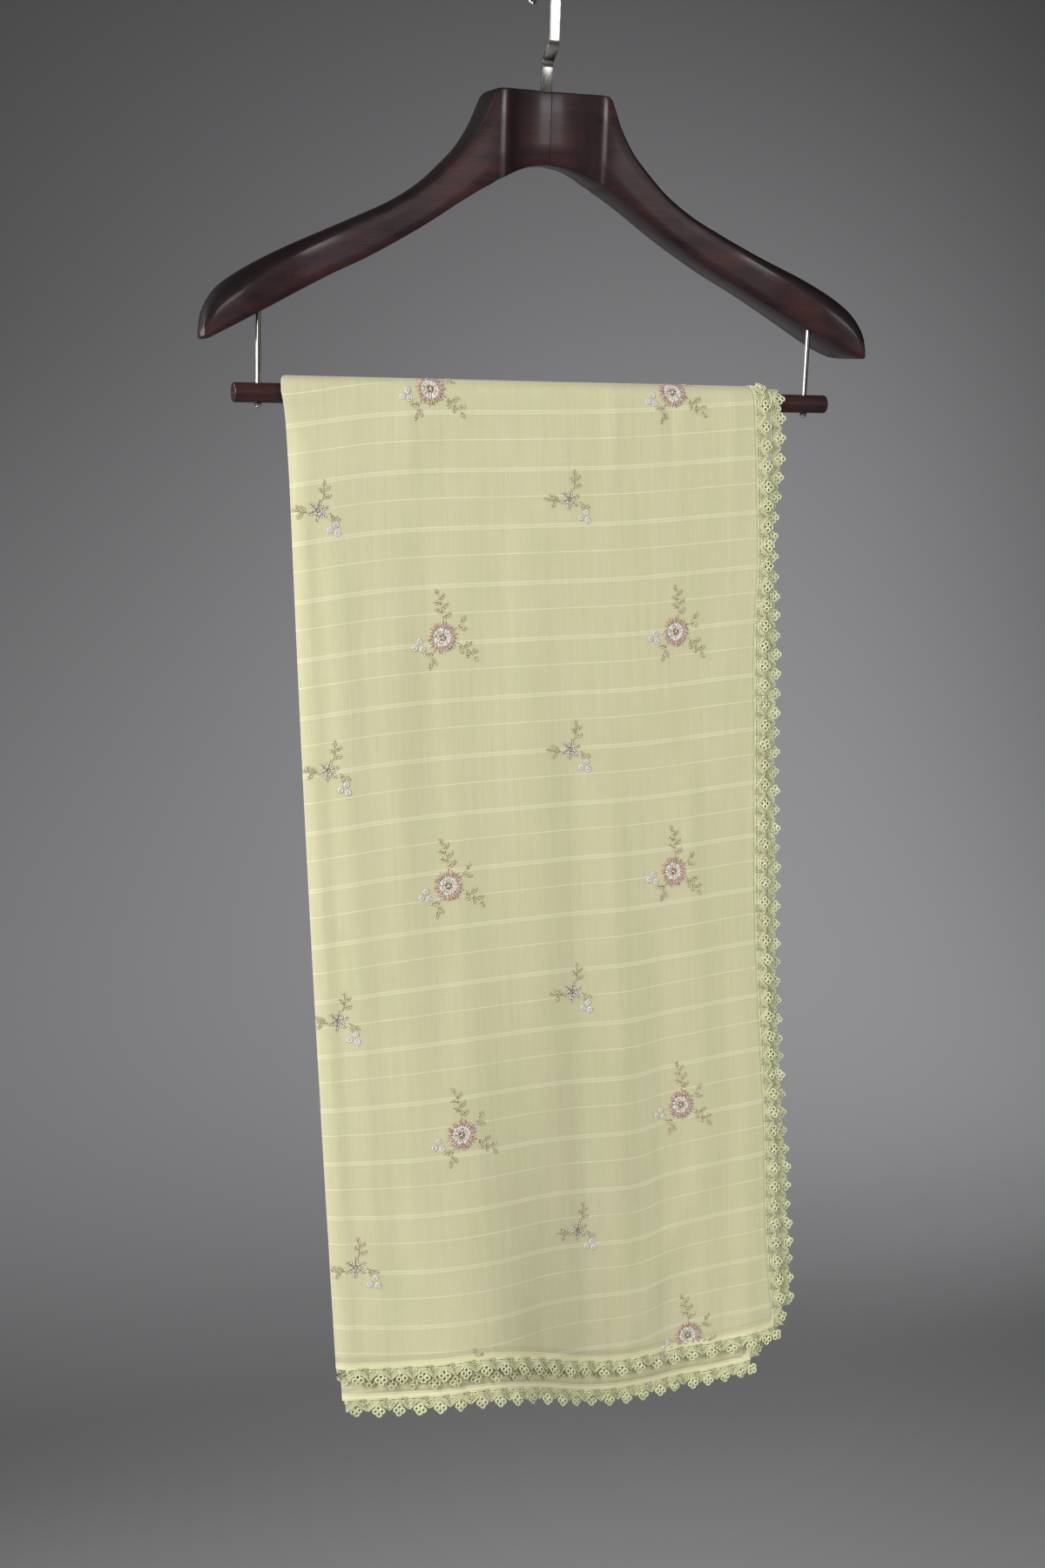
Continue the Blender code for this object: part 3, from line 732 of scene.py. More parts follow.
def section(strip, s):
    """Distance across and reach from the middle of the layers, at a signed distance s round from the fold."""
    angle = np.clip(s / FOLD_ROUND, -np.pi / 2, np.pi / 2)
    beyond = np.maximum(np.abs(s) - FOLD_TURN, 0.0)
    across = strip["fold"] + FOLD_ROUND * (1 - np.cos(angle)) + beyond
    return across, LAYER_STEP - FOLD_ROUND * np.sin(angle)


def hem_level(strip, s):
    across, _ = section(strip, s)
    second = np.where(s < 0, strip["second"][0], strip["second"][1])
    level = folds(3, across) + strip["longer"] + second * folds(4, across) + curve(*zip(*HEM_DRIFT), across)
    return level - strip["short"] * (s < 0) * ease(across / 25.0) - EDGE_TRIM


def spot(strip, s, travel, lift=0.0):
    """Place at s round from the fold and a travel from the bar, lifted off the outside of the strip."""
    s, travel = np.broadcast_arrays(np.asarray(s, float), np.asarray(travel, float))
    across, reach = section(strip, s)
    side = -np.sin(np.clip(s / FOLD_ROUND, -np.pi / 2, np.pi / 2))
    radius = LAYER_CENTRE + math.cos(strip["phase"]) * (reach + lift * side)
    behind = np.clip(-travel - BAR_TURN, 0.0, None) / BACK_DROP
    moved = across + strip["creep"] * behind * ease((across - CREEP_FROM) / CREEP_WIDTH)
    for wall, drift in zip((-1, 1), strip["drifts"]):
        pulled = curve(*zip(*drift), travel) - EDGE_TRIM
        moved = moved + (s * wall > 0) * pulled * ease((across - PULL_FROM) / PULL_WIDTH)
    return hang(radius, moved, travel)


def edge_s(strip, side):
    """Signed distance from the fold to the edge of the strip's first (-1) or second (1) wall."""
    edge = strip["edges"][0 if side < 0 else 1]
    return side * (edge - strip["fold"] - FOLD_ROUND + FOLD_TURN)


SECOND_DRIFT = 285.0
THIRD_DRIFT = 580.0
DRIFTS = (
    # how far the weft stripes sag (-) or rise (+) at points across: at the bar and at those two levels
    ((0.0, -11.0), (57.0, -3.3), (161.0, 0.0), (221.0, 1.8), (300.0, 7.6)),
    ((0.0, -9.0), (57.0, -3.6), (161.0, 0.0), (221.0, 0.7), (300.0, 5.9)),
    ((0.0, 0.7), (53.0, -5.0), (110.0, -6.1), (138.0, -5.8), (213.0, -11.2), (238.0, -6.5), (304.0, -0.1)),
)
INNER_STRIPES = 6.8


def weft(strip, s, travel):
    """Distance along the cloth by which its woven stripes are set, from the bar in front, in millimetres."""
    across, _ = section(strip, s)
    if strip is INNER:
        return travel - hem_level(strip, s) - INNER_STRIPES
    first, second, third = (curve(*zip(*drift), np.clip(across, 0.0, 320.0)) for drift in DRIFTS)
    upper = ease(travel / SECOND_DRIFT)
    lower = ease((travel - SECOND_DRIFT) / (THIRD_DRIFT - SECOND_DRIFT))
    return travel + first * (1 - upper) + second * upper * (1 - lower) + third * lower


COLUMN_FINE = 4.0
COLUMN_COARSE = 8.0
ROW_FINE = 4.0
ROW_COARSE = 9.0
BAR_ROWS = 10
FOOT_ROWS = 8
FOOT_GAP = 0.3
FOOT_CLOTH = 3.0
FAR_FROM_HEM = 500.0
SIDE_RIM = 3.5
FOLD_COLUMNS = (-1.0, -0.5, 0.0, 0.5, 1.0)
first_shares = np.linspace(1, 0, int(OUTER["edges"][0] / COLUMN_FINE) + 1)[:-1]
second_shares = np.linspace(0, 1, int(OUTER["edges"][1] / COLUMN_COARSE) + 1)[1:]


def columns(strip):
    """Signed distances from the fold of the sheet's columns in a strip."""
    first, second = (side * (FOLD_TURN + shares * (side * edge_s(strip, side) - FOLD_TURN))
                     for side, shares in ((-1, first_shares), (1, second_shares)))
    return np.concatenate((first, FOLD_TURN * np.array(FOLD_COLUMNS), second))


def strip_rows(strip):
    """Rows of the sheet from the hem up the front, over the bar and down the back: places, s and weft."""
    s = columns(strip)
    hem = hem_level(strip, s)
    foot = back_foot(section(strip, s)[0])
    travels = [share * hem for share in np.linspace(1, 0, int(FULL_DROP / ROW_FINE) + 1)]
    travels += [np.full_like(s, -BAR_TURN * step / BAR_ROWS) for step in range(1, BAR_ROWS + 1)]
    travels += [-BAR_TURN - share * foot for share in np.linspace(0, 1, int(BACK_DROP / ROW_COARSE) + 1)[1:]]
    return [(spot(strip, s, travel), s, weft(strip, s, travel), hem - travel) for travel in travels]


outer_rows = strip_rows(OUTER)
inner_rows = strip_rows(INNER)
turn_rows = []
foot_s = columns(OUTER)
foot_reach = section(OUTER, foot_s)[1]
start, _, start_weft, _ = outer_rows[-1]
end = inner_rows[-1][0]
for step in range(1, FOOT_ROWS):
    angle = math.pi * step / FOOT_ROWS
    share = (1 - math.cos(angle)) / 2
    place = start * (1 - share) + end * share
    place[:, 2] -= (FOOT_GAP + foot_reach * math.sin(angle)) * MM
    turn_rows.append((place, foot_s, start_weft - FOOT_CLOTH * share, np.full_like(foot_s, FAR_FROM_HEM)))
rows = outer_rows + turn_rows + inner_rows[::-1]
points, across_uv, weft_uv, hem_distance = (np.concatenate(part) for part in zip(*rows))
count = len(foot_s)
faces = []
for row in range(len(rows) - 1):
    for column in range(count - 1):
        corner = row * count + column
        faces.append((corner, corner + 1, corner + count + 1, corner + count))
is_inner = np.arange(len(points)) >= (len(outer_rows) + FOOT_ROWS // 2) * count
left, right = (np.where(is_inner, edge_s(INNER, wall), edge_s(OUTER, wall)) for wall in (-1, 1))
rim = np.minimum(hem_distance, SIDE_RIM * np.minimum(across_uv - left, right - across_uv))

VOILE_GREEN = (0.72, 0.715, 0.42)
VOILE_BEIGE = (0.77, 0.72, 0.46)
STRIPE = (0.88, 0.86, 0.64)
HEM_YELLOW = (0.84, 0.78, 0.42)
PAIR_FIRST = 9.7
SINGLE_FIRST = 26.5
STRIPE_PITCH = 35.45
PAIR_GAP = 1.9
LINE_WIDTH = 0.30
DOT_PITCH = 1.6
HEM_DEPTH = 3.6
HEM_SEAM = 4.0
SEAM_WIDTH = 0.45
OPEN_MIDDLE = 6.3
OPEN_WIDTH = 2.2

voile = Finish("pistachio voile", Roughness=0.82, Specular_IOR_Level=0.18, Sheen_Weight=0.25,
               Sheen_Roughness=0.4, Sheen_Tint=(1.0, 0.98, 0.80, 1.0))
uv = voile.node("UVMap", {"uv_map": "cloth"}).outputs[0]
split = voile.node("SeparateXYZ", None, {0: uv})
u = Level(voile.tree, split.outputs["X"])
v = Level(voile.tree, split.outputs["Y"])


def lines(first, width):
    """1 on fine lines of thread, a stripe's pitch apart from the first, and 0 between them."""
    part = ((v - first * MM) / (STRIPE_PITCH * MM) + 40.5).math("FRACT")
    return (1.6 - part.away(0.5) * STRIPE_PITCH / width).kept()


def streaks(along, across, detail=2.0):
    """Noise on the cloth's own map, so many to the metre along and across it."""
    return voile.noise(uv, 1.0, detail, (across, along, 1.0))


single = lines(SINGLE_FIRST, LINE_WIDTH)
pair = lines(PAIR_FIRST - PAIR_GAP / 2, LINE_WIDTH)
pair = pair.math("MAXIMUM", lines(PAIR_FIRST + PAIR_GAP / 2, LINE_WIDTH))
between = lines(PAIR_FIRST, PAIR_GAP / 2)
dots = (u / (DOT_PITCH * MM)).math("FRACT").away(0.5) * 2.0
worn = streaks(22.0, 30.0)
stripe = (single * 0.78).math("MAXIMUM", pair * 0.52) * (0.6 + dots * 0.4) * (0.25 + worn * 1.1)
warp = streaks(30.0, 1100.0)
slub = streaks(9.0, 240.0)
bands = streaks(2.4, 46.0, 1.0)
weft_slub = streaks(900.0, 30.0)
cloud = streaks(24.0, 30.0, 3.0)
tint = streaks(13.0, 34.0, 2.0)
rim_distance = voile.level("Attribute", "Fac", {"attribute_name": "rim"})
hem_band = ((HEM_DEPTH - rim_distance) * 2.0).kept()
hem_line = (1.0 - rim_distance.away(HEM_SEAM) / SEAM_WIDTH).math("MAXIMUM", 0.0)
open_band = (1.0 - rim_distance.away(OPEN_MIDDLE) / OPEN_WIDTH).math("MAXIMUM", 0.0).math("MINIMUM", 0.5)
thick = warp * 0.28 + slub * 0.24 + bands * 0.18 + weft_slub * 0.12 + cloud * 0.18
tone = ((thick - 0.5) * 2.4 + 0.5).kept()
tint = ((tint - 0.5) * 2.0 + 0.5).kept()
colour = voile.mix(tint, VOILE_GREEN, VOILE_BEIGE)
for share, thread in ((tone * 0.35, STRIPE), (between * 0.18, STRIPE), (hem_band * 0.30, HEM_YELLOW),
                      (hem_line * 0.6, STRIPE), (stripe.math("MINIMUM", 1.0), STRIPE)):
    colour = voile.mix(share, colour, thread)
voile.feed("Base Color", colour)
cover = 0.60 + tone * 0.16 + between * 0.06 + stripe * 0.3
cover = cover + hem_band * 0.28 + hem_line * 0.3 - open_band * 0.4
voile.feed("Alpha", cover.math("MINIMUM", 1.0))
voile.bump(warp * 0.5 + weft_slub * 0.3 + stripe * 0.8, 0.00012, 0.6)

stole = link_mesh("stole_voile", points.tolist(), faces, voile.material)
corners = np.empty(len(stole.data.loops), dtype=np.int64)
stole.data.loops.foreach_get("vertex_index", corners)
cloth = (np.column_stack((across_uv, weft_uv)) * MM)[corners].astype(np.float32)
stole.data.uv_layers.new(name="cloth").data.foreach_set("uv", cloth.ravel())
stole.data.attributes.new("rim", "FLOAT", "POINT").data.foreach_set("value", rim.astype(np.float32))
stole.data.shade_smooth()
LAYERS = ("outer", "inner")
hang_on(stole, "voile", *["stole_%s_%s" % (stretch, layer)
                          for stretch in ("front", "over", "back", "turn") for layer in LAYERS])

# --------------------------------------
# Lace: cotton guipure trim, sewn over the cloth's edge all the way round. Each repeat is a flower of four
# cord rings below two zigzag cords, small Vs, and a heading of two straight cords tied by short bars.
LACE_STEP = 13.45
LACE_OVERLAP = 0.6
CORD = 0.44
RING_CORD = 0.58
CORNER = math.sqrt(2)
RING_RADIUS = 1.45
FLOWER_MIDDLE = 7.3
FLOWER = ((0.0, -2.05), (-2.05, 0.0), (2.05, 0.0), (0.0, 2.05))
ZIGZAGS = ((2.45, 7.3), (1.25, 5.9))
HEADINGS = (0.3, 1.75)
BARS = (-0.86, -0.66, -0.22, 0.0, 0.22, 0.66, 0.86)
INNER_HEM_STEP = 12.94
CORNER_OUT = 0.6
CORNER_DROP = 5.8
REAR_SHIFT = 5.0
LACE_LIFT = 0.25
LOOSE_TURN = 4.0
FIFTH_TURN = 10.0
FLOWER_LIGHT = 0.66
GROUND_LIGHT = 0.46
GROUND_WAVER = 0.22
ZIGZAG_PATH = (
    # place from the flower (0) to the end of the repeat (1), and share of the climb to the valley
    (-1.0, 1.0), (-0.88, 0.9), (-0.12, 0.1), (0.0, 0.0), (0.12, 0.1), (0.88, 0.9), (1.0, 1.0),
)


def tube(path, radius, closed=False, sides=4):
    """Cord along a flat path of points (along the row, out from the edge): its vertices and faces."""
    path = np.asarray(path, float)
    ahead = np.roll(path, -1, axis=0) if closed else np.vstack((path[1:], path[-1:]))
    behind = np.roll(path, 1, axis=0) if closed else np.vstack((path[:1], path[:-1]))
    along = (ahead - behind) / np.linalg.norm(ahead - behind, axis=1, keepdims=True)
    aside = np.stack((-along[:, 1], along[:, 0]), axis=1)
    angles = (np.arange(sides) + 0.5) * 2 * np.pi / sides
    flat = path[:, None, :] + radius * CORNER * np.cos(angles)[None, :, None] * aside[:, None, :]
    high = np.broadcast_to(radius * np.sin(angles)[None, :, None], (len(path), sides, 1))
    points = np.concatenate((flat, high), axis=2).reshape(-1, 3)
    faces = []
    for step in range(len(path) if closed else len(path) - 1):
        here, after = step * sides, (step + 1) % len(path) * sides
        for side in range(sides):
            beside = (side + 1) % sides
            faces.append((here + side, here + beside, after + beside, after + side))
    if not closed:
        faces.append(tuple(range(sides))[::-1])
        faces.append(tuple((len(path) - 1) * sides + side for side in range(sides)))
    return points, faces


def joined(parts):
    """One set of vertices and faces from several."""
    points, faces, count = [], [], 0
    for part_points, part_faces in parts:
        points.append(part_points)
        faces += [tuple(corner + count for corner in face) for face in part_faces]
        count += len(part_points)
    return np.concatenate(points), faces


def lace_flower(segments):
    """Four rings of thick cord round the middle, with a flat knot where they meet."""
    parts = []
    for middle_t, middle_n in FLOWER:
        ring = [(middle_t + RING_RADIUS * math.cos(angle), middle_n + RING_RADIUS * math.sin(angle))
                for angle in (np.arange(segments) + 0.5) * 2 * np.pi / segments]
        points, faces = tube(ring, RING_CORD, closed=True)
        points[:, 2] += 0.15 * (1 if middle_t else -1)
        parts.append((points, faces))
    parts.append(tube(((-0.75, 0.0), (0.75, 0.0)), 0.65))
    return joined(parts)


def lace_ground(step):
    """Zigzags, two small Vs on a post, and the barred heading of one repeat, centred on its flower."""
    half = step / 2
    parts = []
    for row, (apex, valley) in enumerate(ZIGZAGS):
        path = [(half * part, apex + (valley - apex) * climb) for part, climb in ZIGZAG_PATH]
        points, faces = tube(path, CORD * (1.12 if row == 0 else 1.0))
        points[:, 2] += 0.12 * (1 - row)
        parts.append((points, faces))
    for height in HEADINGS:
        parts.append(tube(((-half, height), (0.0, height), (half, height)), CORD))
    for place in BARS:
        parts.append(tube(((half * place, HEADINGS[0]), (half * place, HEADINGS[1])), CORD * 0.9))
    for side in (-1, 1):
        vee = ((side * half, 4.5), (side * (half - 2.0), 3.15), (side * (half - 3.6), 1.9))
        parts.append(tube(vee, CORD * 0.95))
        parts.append(tube(((side * half, 3.1), (side * (half - 1.2), 2.3)), CORD * 0.9))
        parts.append(tube(((side * half, HEADINGS[0]), (side * half, 3.2)), CORD * 0.75))
    return joined(parts)


def lace_light(height, share, middle):
    """Painted light of each cord point: painted shade at a cord's foot and on lace behind, painted highlight
    outside.
    """
    outside = np.sign(height) * np.where(share > 0, -1.0, 1.0)
    return (middle + 0.40 * outside) * (1 - 0.3 * share)


def lace_mesh(name, place, rear, repeats, step, segments, seed, corner=None):
    """Lace along an edge: place(t, n, h) maps a repeat's own millimetres, and repeats are its middles.

    rear(t) is above 0 where the lace hangs behind another layer: it is seen from inside, and gets a little
    painted shade.
    """
    random.seed(seed)
    flower, flower_faces = lace_flower(segments)
    ground, ground_faces = lace_ground(step)
    parts, lit = [], []
    for index, middle in enumerate(repeats):
        turn = random.gauss(0, LOOSE_TURN if index % 5 else FIFTH_TURN)
        curl, tilt = random.gauss(0.2, 0.5), random.gauss(0, 0.10)
        shift = random.gauss(0, 0.22)
        is_corner = corner is not None and index == 0
        if is_corner:
            turn, curl, tilt = corner[2], 0.3, 0.0
        sine, cosine = math.sin(math.radians(turn)), math.cos(math.radians(turn))
        t = flower[:, 0] * cosine - flower[:, 1] * sine
        n = flower[:, 0] * sine + flower[:, 1] * cosine
        h = flower[:, 2] + curl + tilt * t + 0.04 * n * curl
        if is_corner:
            t, n = t + corner[0] - middle, n + corner[1]
        else:
            t, n = t + shift, n + FLOWER_MIDDLE + random.gauss(0, 0.15)
        parts.append((place(middle + t, n, h), flower_faces))
        lit.append(lace_light(flower[:, 2] + 0.15, rear(middle + t), FLOWER_LIGHT))
        if is_corner:
            continue
        t, n, h = ground.T
        waver = GROUND_WAVER * np.sin(0.9 * (middle + t)) * ease(n / 5.0)
        parts.append((place(middle + t, n, h + waver), ground_faces))
        lit.append(lace_light(h, rear(middle + t), GROUND_LIGHT))
    points, faces = joined(parts)
    probe = repeats[-1], 5.0, 0.0
    probe = place(*(np.array(probe)[:, None] + np.eye(3, 4, 1))) / MM
    if np.linalg.det(probe[1:] - probe[0]) < 0:
        faces = [face[::-1] for face in faces]
    piece = link_mesh(name, points.tolist(), faces, lace_thread.material)
    piece.data.attributes.new("lit", "FLOAT", "POINT").data.foreach_set("value", np.concatenate(lit))
    piece.data.shade_smooth()
    return piece


lace_thread = Finish("guipure lace", Roughness=0.86, Specular_IOR_Level=0.2, Sheen_Weight=0.2,
                     Sheen_Roughness=0.5)
place_on = lace_thread.node("TexCoord").outputs["Object"]
twist = lace_thread.noise(place_on, 2600.0, 1.0)
shade = lace_thread.noise(place_on, 90.0, 2.0)
lit = lace_thread.level("Attribute", "Fac", {"attribute_name": "lit"})
lit = (lit + (shade - 0.5) * 0.5 + (twist - 0.5) * 0.2).kept()
# Colour runs from a dark olive painted shade to pale thread by the painted light in 'lit', with a random
# mottle.
lace_thread.feed("Base Color", lace_thread.mix(lit, (0.27, 0.25, 0.08), (0.76, 0.77, 0.47)))
lace_thread.bump(twist, 0.00025, 0.8)


def along_hem(strip, wall):
    def place(t, n, h):
        s = wall * t
        return spot(strip, s, hem_level(strip, s) + n - LACE_OVERLAP, h + LACE_LIFT)
    return place


def along_side(strip, wall):
    def place(t, n, h):
        return spot(strip, edge_s(strip, wall) + wall * (n - LACE_OVERLAP), t, h + LACE_LIFT)
    return place


def behind_fold(t):
    return np.where(t < 0, 1.0, 0.0)


def all_behind(share):
    return lambda t: np.full_like(t, share)


lace_pieces = []
HEM_ROWS = (
    # name, strip, front wall, repeats on it, step, steps in to the first, turn of the corner's flower
    ("outer", OUTER, -1, 23, LACE_STEP, 0.585, -40.0),
    ("inner", INNER, 1, 22, INNER_HEM_STEP, 0.577, 40.0),
)
for seed, (name, strip, wall, repeats, step, share, turned) in enumerate(HEM_ROWS):
    edge = abs(edge_s(strip, wall))
    places = [edge - step * (share + index) for index in range(2 * repeats + 1)]
    places = [edge + CORNER_OUT] + [place - REAR_SHIFT * (place < 0) for place in places]
    row = lace_mesh("lace_hem_row_" + name, along_hem(strip, wall), behind_fold, places, step, 10, 40 + seed,
                    corner=(edge + CORNER_OUT, CORNER_DROP + LACE_OVERLAP, turned))
    lace_pieces.append(hang_on(row, "lace", "lace_hem_" + name))
SIDE_ROWS = (
    # number, strip, wall, middle of the repeat nearest the bar, step, segments of a ring, share of painted
    # shade for hanging behind
    (1, OUTER, -1, 3.1, 13.14, 10, 0.0),
    (2, OUTER, 1, -2.0, 12.97, 10, 0.15),
    (3, INNER, 1, 2.0, 13.05, 8, 0.0),
    (4, INNER, -1, 6.0, 13.05, 8, 1.0),
)
for number, strip, wall, start, step, segments, share in SIDE_ROWS:
    hem = float(hem_level(strip, np.array([edge_s(strip, wall)]))[0])
    low = int((hem - 6.0 - start) / step)
    high = int((start + BAR_TURN + BACK_DROP - 10.0) / step)
    places = [start + step * index for index in range(-high, low + 1)]
    row = lace_mesh("lace_side_row_%d" % number, along_side(strip, wall), all_behind(share), places, step,
                    segments, 60 + number)
    nodes = ["lace_%s_%d" % (stretch, number) for stretch in ("front", "over", "back")]
    if number < 3:
        nodes.append("lace_turn_" + LAYERS[number - 1])
    lace_pieces.append(hang_on(row, "lace", *nodes))

# --------------------------------------
# Embroidery: sprays worked in silk thread straight on the voile, large and small ones by turns in four
# columns. Each stitch is a short raised bar of thread; the colour of every thread is kept on its own points.
THREADS = {
    "rose": (0.46, 0.20, 0.18),
    "blush": (0.82, 0.54, 0.47),
    "white": (0.93, 0.89, 0.84),
    # dark brown thread, also laid between leaf stitches as painted shade in the gaps
    "brown_and_gap_shade": (0.12, 0.062, 0.03),
    "gold": (0.40, 0.27, 0.09),
    "straw": (0.84, 0.74, 0.48),
    "celery": (0.76, 0.78, 0.46),
    "lilac": (0.46, 0.41, 0.48),
}
LARGE_SPRIGS = (
    # heading from the flower in degrees, length, how far the stem bends over, number of leaves
    (84, 17.0, 28, 6), (-22, 14.0, -34, 5), (232, 8.0, 30, 3), (30, 6.0, 26, 2),
)
SMALL_SPRIGS = ((66, 9.0, 32, 4), (190, 7.5, -30, 4), (-14, 4.0, -24, 2))
LARGE_RIM = 9.4
SMALL_RIM = 6.4
LARGE_TRIO = (196, 16.5)
SMALL_TRIO = (-48, 15.0)
TRIO_SPACING = 2.9
LARGE_LEAF = 6.4
SMALL_LEAF = 5.4
LEAF_OPENING = 0.30
LEAF_TURN = 56
LEAF_TAPER = 0.25
HEM_CLEAR = 1.5
STITCH_FAT = 1.45
KNOT_RADIUS = 2.2
STITCH_HEIGHTS = (0.14, 0.14, 0.18, 0.18, 0.36, 0.07)
STITCH_FACES = (
    (0, 2, 4), (2, 1, 4), (1, 3, 4), (3, 0, 4), (0, 5, 2), (2, 5, 1), (1, 5, 3), (3, 5, 0),
)


def toward(degrees):
    return np.array((math.cos(math.radians(degrees)), math.sin(math.radians(degrees))))


class Spray:
    """Stitches of one spray in its own millimetres, x along the weft and y up the cloth."""

    def __init__(self, seed):
        self.random = random.Random(seed)
        self.ends = []
        self.widths = []
        self.colours = []

    def stitch(self, start, end, width, colour, loose=0.25):
        shaken = [value + self.random.uniform(-loose, loose) for value in (*start, *end)]
        self.ends.append(shaken)
        self.widths.append(width * STITCH_FAT)
        shade = self.random.uniform(0.85, 1.12)
        self.colours.append([min(channel * shade, 0.95) for channel in THREADS[colour]])

    def rays(self, count, inner, outer, width, colours, loose=0.35):
        for index in range(count):
            angle = 2 * math.pi * (index + self.random.uniform(-0.3, 0.3)) / count
            far = outer * self.random.uniform(0.90, 1.08)
            near = inner * self.random.uniform(0.9, 1.15)
            cosine, sine = math.cos(angle), math.sin(angle)
            colour = colours[index % len(colours)]
            self.stitch((near * cosine, near * sine), (far * cosine, far * sine), width, colour, loose)

    def leaf(self, base, tip, width, fill=("straw", "celery"), rib=("brown_and_gap_shade", "gold")):
        """Fishbone leaf: slanted stitches in pairs along a rib, widest at the belly, with thin dark stitches
        between as painted shade in the gaps.
        """
        along = np.subtract(tip, base)
        aside = np.array((-along[1], along[0])) / np.linalg.norm(along) * width
        for step, (part, swell) in enumerate(((0.0, 0.8), (0.22, 1.0), (0.44, 0.8), (0.66, 0.45))):
            root = base + along * part
            for side in (-1, 1):
                self.stitch(root, root + along * 0.32 + aside * side * swell, 0.72, fill[step % 2], 0.15)
            edge = root + along * 0.30 + aside * swell * 1.05 * (1 if step % 2 else -1)
            # thin dark stitch: painted shade in the gap between the fill stitches
            self.stitch(root + (edge - root) * 0.6, edge, 0.30, rib[0], 0.15)
        self.stitch(base, base + along * 0.55, 0.34, rib[1], 0.1)
        self.stitch(base + along * 0.5, tip, 0.36, rib[1], 0.1)

    def stem(self, points):
        for start, end in zip(points[:-1], points[1:]):
            steps = max(1, round(math.dist(start, end) / 1.7))
            for step in range(steps):
                ends = [np.add(start, np.subtract(end, start) * (step + part) / steps) for part in (0, 1.1)]
                self.stitch(ends[0], ends[1], 0.55, ("gold", "straw", "brown_and_gap_shade")[step % 3], 0.15)

    def knot(self, middle, radius):
        for count, reach, width in ((9, radius, 0.85), (5, radius * 0.5, 0.8)):
            for index in range(count):
                ends = [middle + reach * toward(360 * (index + part) / count) for part in (-0.8, 1.8)]
                self.stitch(ends[0], ends[1], width, "white", 0.05)
        for index in range(3):
            reach = radius * (0.30 + 0.22 * index)
            ends = [middle + reach * toward(126 * (index + part)) for part in (0, 1.1)]
            self.stitch(ends[0], ends[1], 0.34, "white" if index == 0 else "lilac", 0.05)

    def sprig(self, rim, leaf_length, heading, length, bend, leaves):
        """Stem that bends over evenly as it grows, leaves by turns on its two sides and one at its tip."""
        place = rim * toward(heading)
        joints = [place]
        for step in range(leaves):
            lean = heading + bend * (step + 0.5) / leaves
            place = place + toward(lean) * length / leaves
            joints.append(place)
            size = leaf_length * (1.0 - LEAF_TAPER * step / leaves)
            turn = LEAF_TURN * (1 if step % 2 else -1) if step < leaves - 1 else 0
            self.leaf(place, place + toward(lean + turn) * size, LEAF_OPENING * size)
        self.stem(joints)

    def trio(self, heading, distance):
        """Three rolled knots, set evenly round one point."""
        for index in range(3):
            self.knot(distance * toward(heading) + TRIO_SPACING * toward(heading + 120 * index), KNOT_RADIUS)

    def place(self, strip, s, travel):
        """Points on the cloth and faces: each stitch is a bar of six points with a raised middle."""
        wall = 1 if s > 0 else -1
        ends = np.array(self.ends)
        start, end = ends[:, :2], ends[:, 2:]
        along = end - start
        length = np.maximum(np.linalg.norm(along, axis=1, keepdims=True), 0.05)
        aside = np.stack((-along[:, 1], along[:, 0]), axis=1) / length * np.array(self.widths)[:, None] / 2
        middle = (start + end) / 2
        flat = np.stack((start, end, middle - aside, middle + aside, middle, middle), axis=1)
        high = np.broadcast_to(STITCH_HEIGHTS, flat.shape[:2])
        right, up = toward(self.random.uniform(-4, 4))
        x = flat[..., 0] * right - flat[..., 1] * up
        y = flat[..., 0] * up + flat[..., 1] * right
        turned_under = (travel - y).max(axis=1) > hem_level(strip, s + wall * x).min(axis=1) - HEM_CLEAR
        x, y, high = x[~turned_under], y[~turned_under], high[~turned_under]
        points = spot(strip, s + wall * x, travel - y, high)
        rows = np.arange(len(x))[:, None, None] * 6
        faces = (rows + np.array(STITCH_FACES)[:, ::-wall]).reshape(-1, 3).tolist()
        return points.reshape(-1, 3), faces, np.repeat(np.array(self.colours)[~turned_under], 6, axis=0)


def large_spray(seed):
    spray = Spray(seed)
    spray.rays(58, 5.2, 9.6, 0.50, ("rose", "blush", "blush", "rose", "blush"))
    spray.rays(30, 7.6, 10.2, 0.34, ("rose", "gold", "blush"))
    spray.rays(38, 3.0, 6.8, 0.84, ("white", "white", "white", "blush", "white"))
    spray.rays(20, 1.9, 4.6, 0.80, ("white", "white", "straw", "white"))
    spray.rays(13, 0.5, 2.7, 0.55, ("brown_and_gap_shade", "gold", "brown_and_gap_shade", "straw"))
    spray.knot(np.zeros(2), 0.5)
    for sprig in LARGE_SPRIGS:
        spray.sprig(LARGE_RIM, LARGE_LEAF, *sprig)
    spray.trio(*LARGE_TRIO)
    return spray


def small_spray(seed):
    spray = Spray(seed)
    for petal in range(6):
        aim = toward(60 * petal + 20)
        spray.leaf(aim * 1.4, aim * 7.0, 1.8, ("white", "straw"), ("brown_and_gap_shade", "brown_and_gap_shade"))
    spray.rays(12, 0.4, 2.0, 0.45, ("brown_and_gap_shade", "rose", "gold"))
    for sprig in SMALL_SPRIGS:
        spray.sprig(SMALL_RIM, SMALL_LEAF, *sprig)
    spray.trio(*SMALL_TRIO)
    return spray


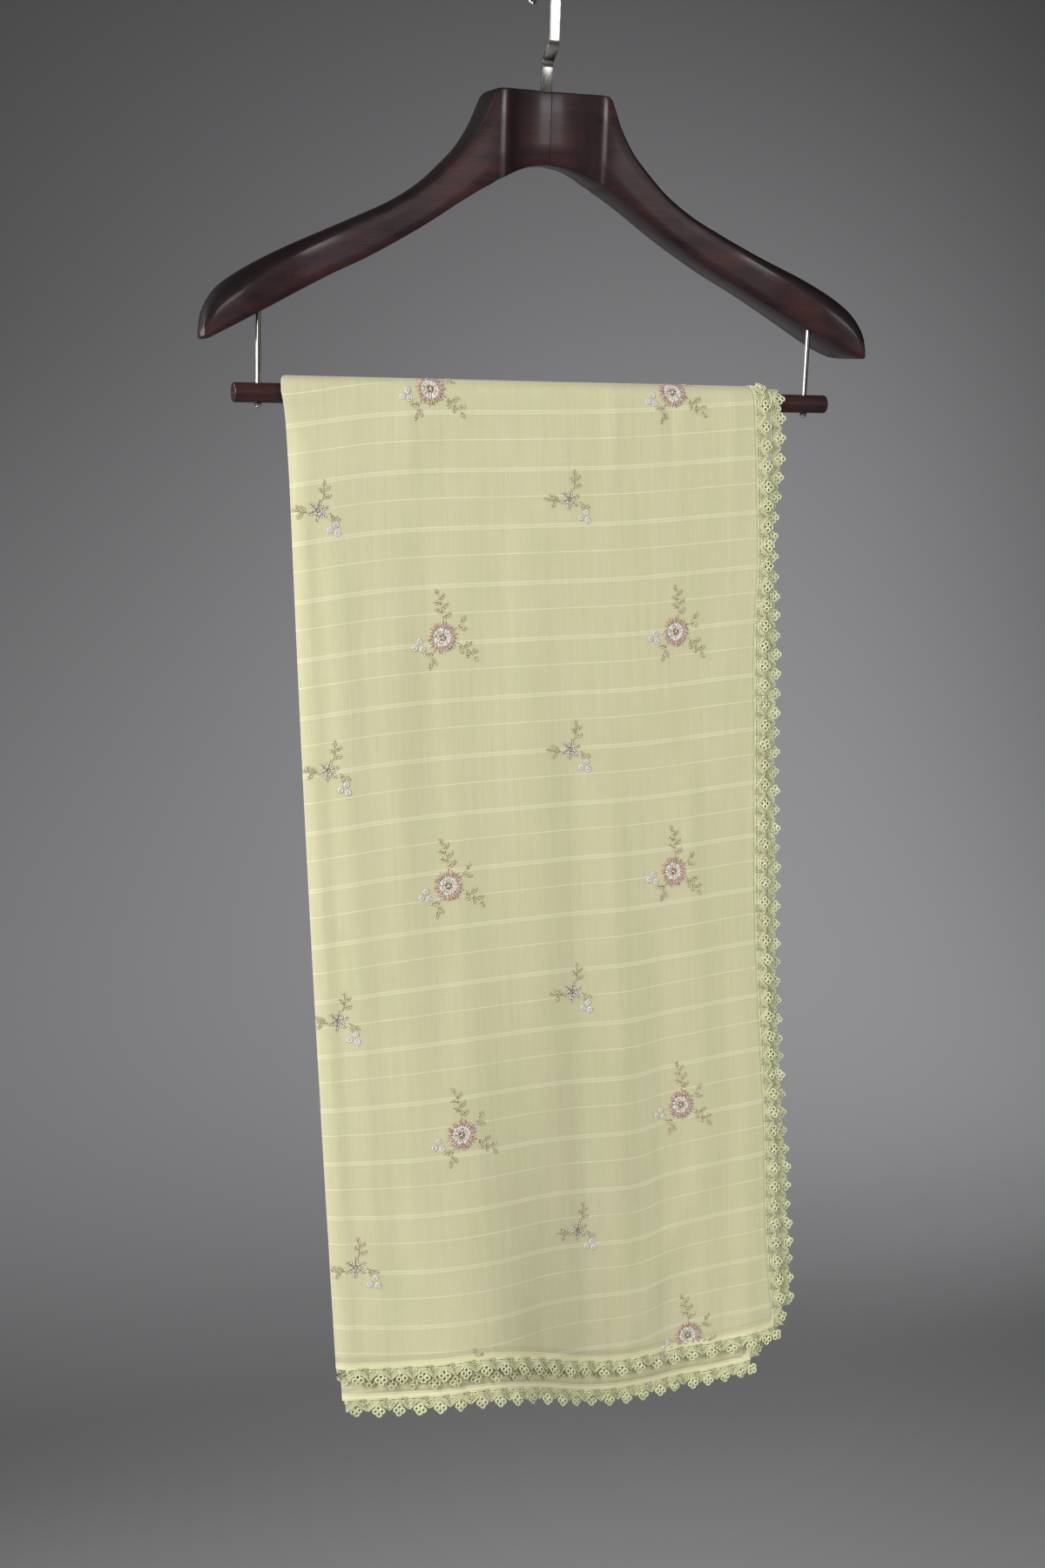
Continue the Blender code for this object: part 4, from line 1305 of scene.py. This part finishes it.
FRONT_SPRAYS = (
    # kind, then how far round from the fold and down the front each lies on the first wall, in millimetres
    (small_spray, ((-16.3, 70.8), (-15.8, 228.6), (-13.6, 383.4), (-15.3, 539.5),
                   (-181.8, 64.0), (-177.4, 222.8), (-173.0, 379.9), (-170.9, 538.9))),
    (large_spray, ((-90.4, -2.9), (-93.1, 149.4), (-89.4, 304.6), (-88.1, 462.9), (-87.0, 630.0),
                   (-256.3, -4.1), (-255.1, 149.5), (-249.1, 306.7), (-250.2, 464.5), (-251.9, 626.5))),
)
SPRAY_STEP = 156.0
BACK_COLUMNS = (
    # kind, distance round from the fold, travel of the first spray down the back
    (small_spray, -16.0, -86.0), (large_spray, -92.0, -160.0), (small_spray, -180.0, -92.0),
    (large_spray, -253.0, -160.0),
)
REAR_COLUMNS = (
    # the same for the second wall, from the front hem's first spray up
    (large_spray, 44.0, 521.0), (small_spray, 124.0, 592.0), (large_spray, 206.0, 520.0),
    (small_spray, 281.0, 590.0),
)

floss = Finish("silk embroidery thread", Roughness=0.55, Specular_IOR_Level=0.3, Sheen_Weight=0.3,
               Sheen_Roughness=0.35)
dye = floss.node("Attribute", {"attribute_name": "thread"}).outputs["Color"]
fray = floss.noise(floss.node("TexCoord").outputs["Object"], 3200.0, 1.0)
floss.feed("Base Color", floss.mix(fray * 0.3, dye, (0.30, 0.25, 0.16)))
floss.bump(fray, 0.0002, 0.6)


def embroider(name, sprays, seed):
    """One mesh of all the sprays on a wall, sewn through it."""
    placed = [kind(seed + index).place(OUTER, s, travel) for index, (kind, s, travel) in enumerate(sprays)]
    points, faces = joined([spray[:2] for spray in placed])
    dyes = np.concatenate([spray[2] for spray in placed])
    piece = link_mesh(name, points.tolist(), faces, floss.material)
    colours = np.column_stack((dyes, np.ones(len(dyes)))).astype(np.float32)
    piece.data.attributes.new("thread", "FLOAT_COLOR", "POINT").data.foreach_set("color", colours.ravel())
    piece.data.shade_smooth()
    return hang_on(piece, "lace")


on_first = [(kind, *place) for kind, places in FRONT_SPRAYS for place in places]
on_first += [(kind, s, first - SPRAY_STEP * step) for kind, s, first in BACK_COLUMNS for step in range(3)]
on_second = [(kind, s, first - SPRAY_STEP * step) for kind, s, first in REAR_COLUMNS for step in range(4)]
trims = lace_pieces + [embroider("embroidery_first_wall", on_first, 200)]
trims.append(embroider("embroidery_second_wall", on_second, 300))
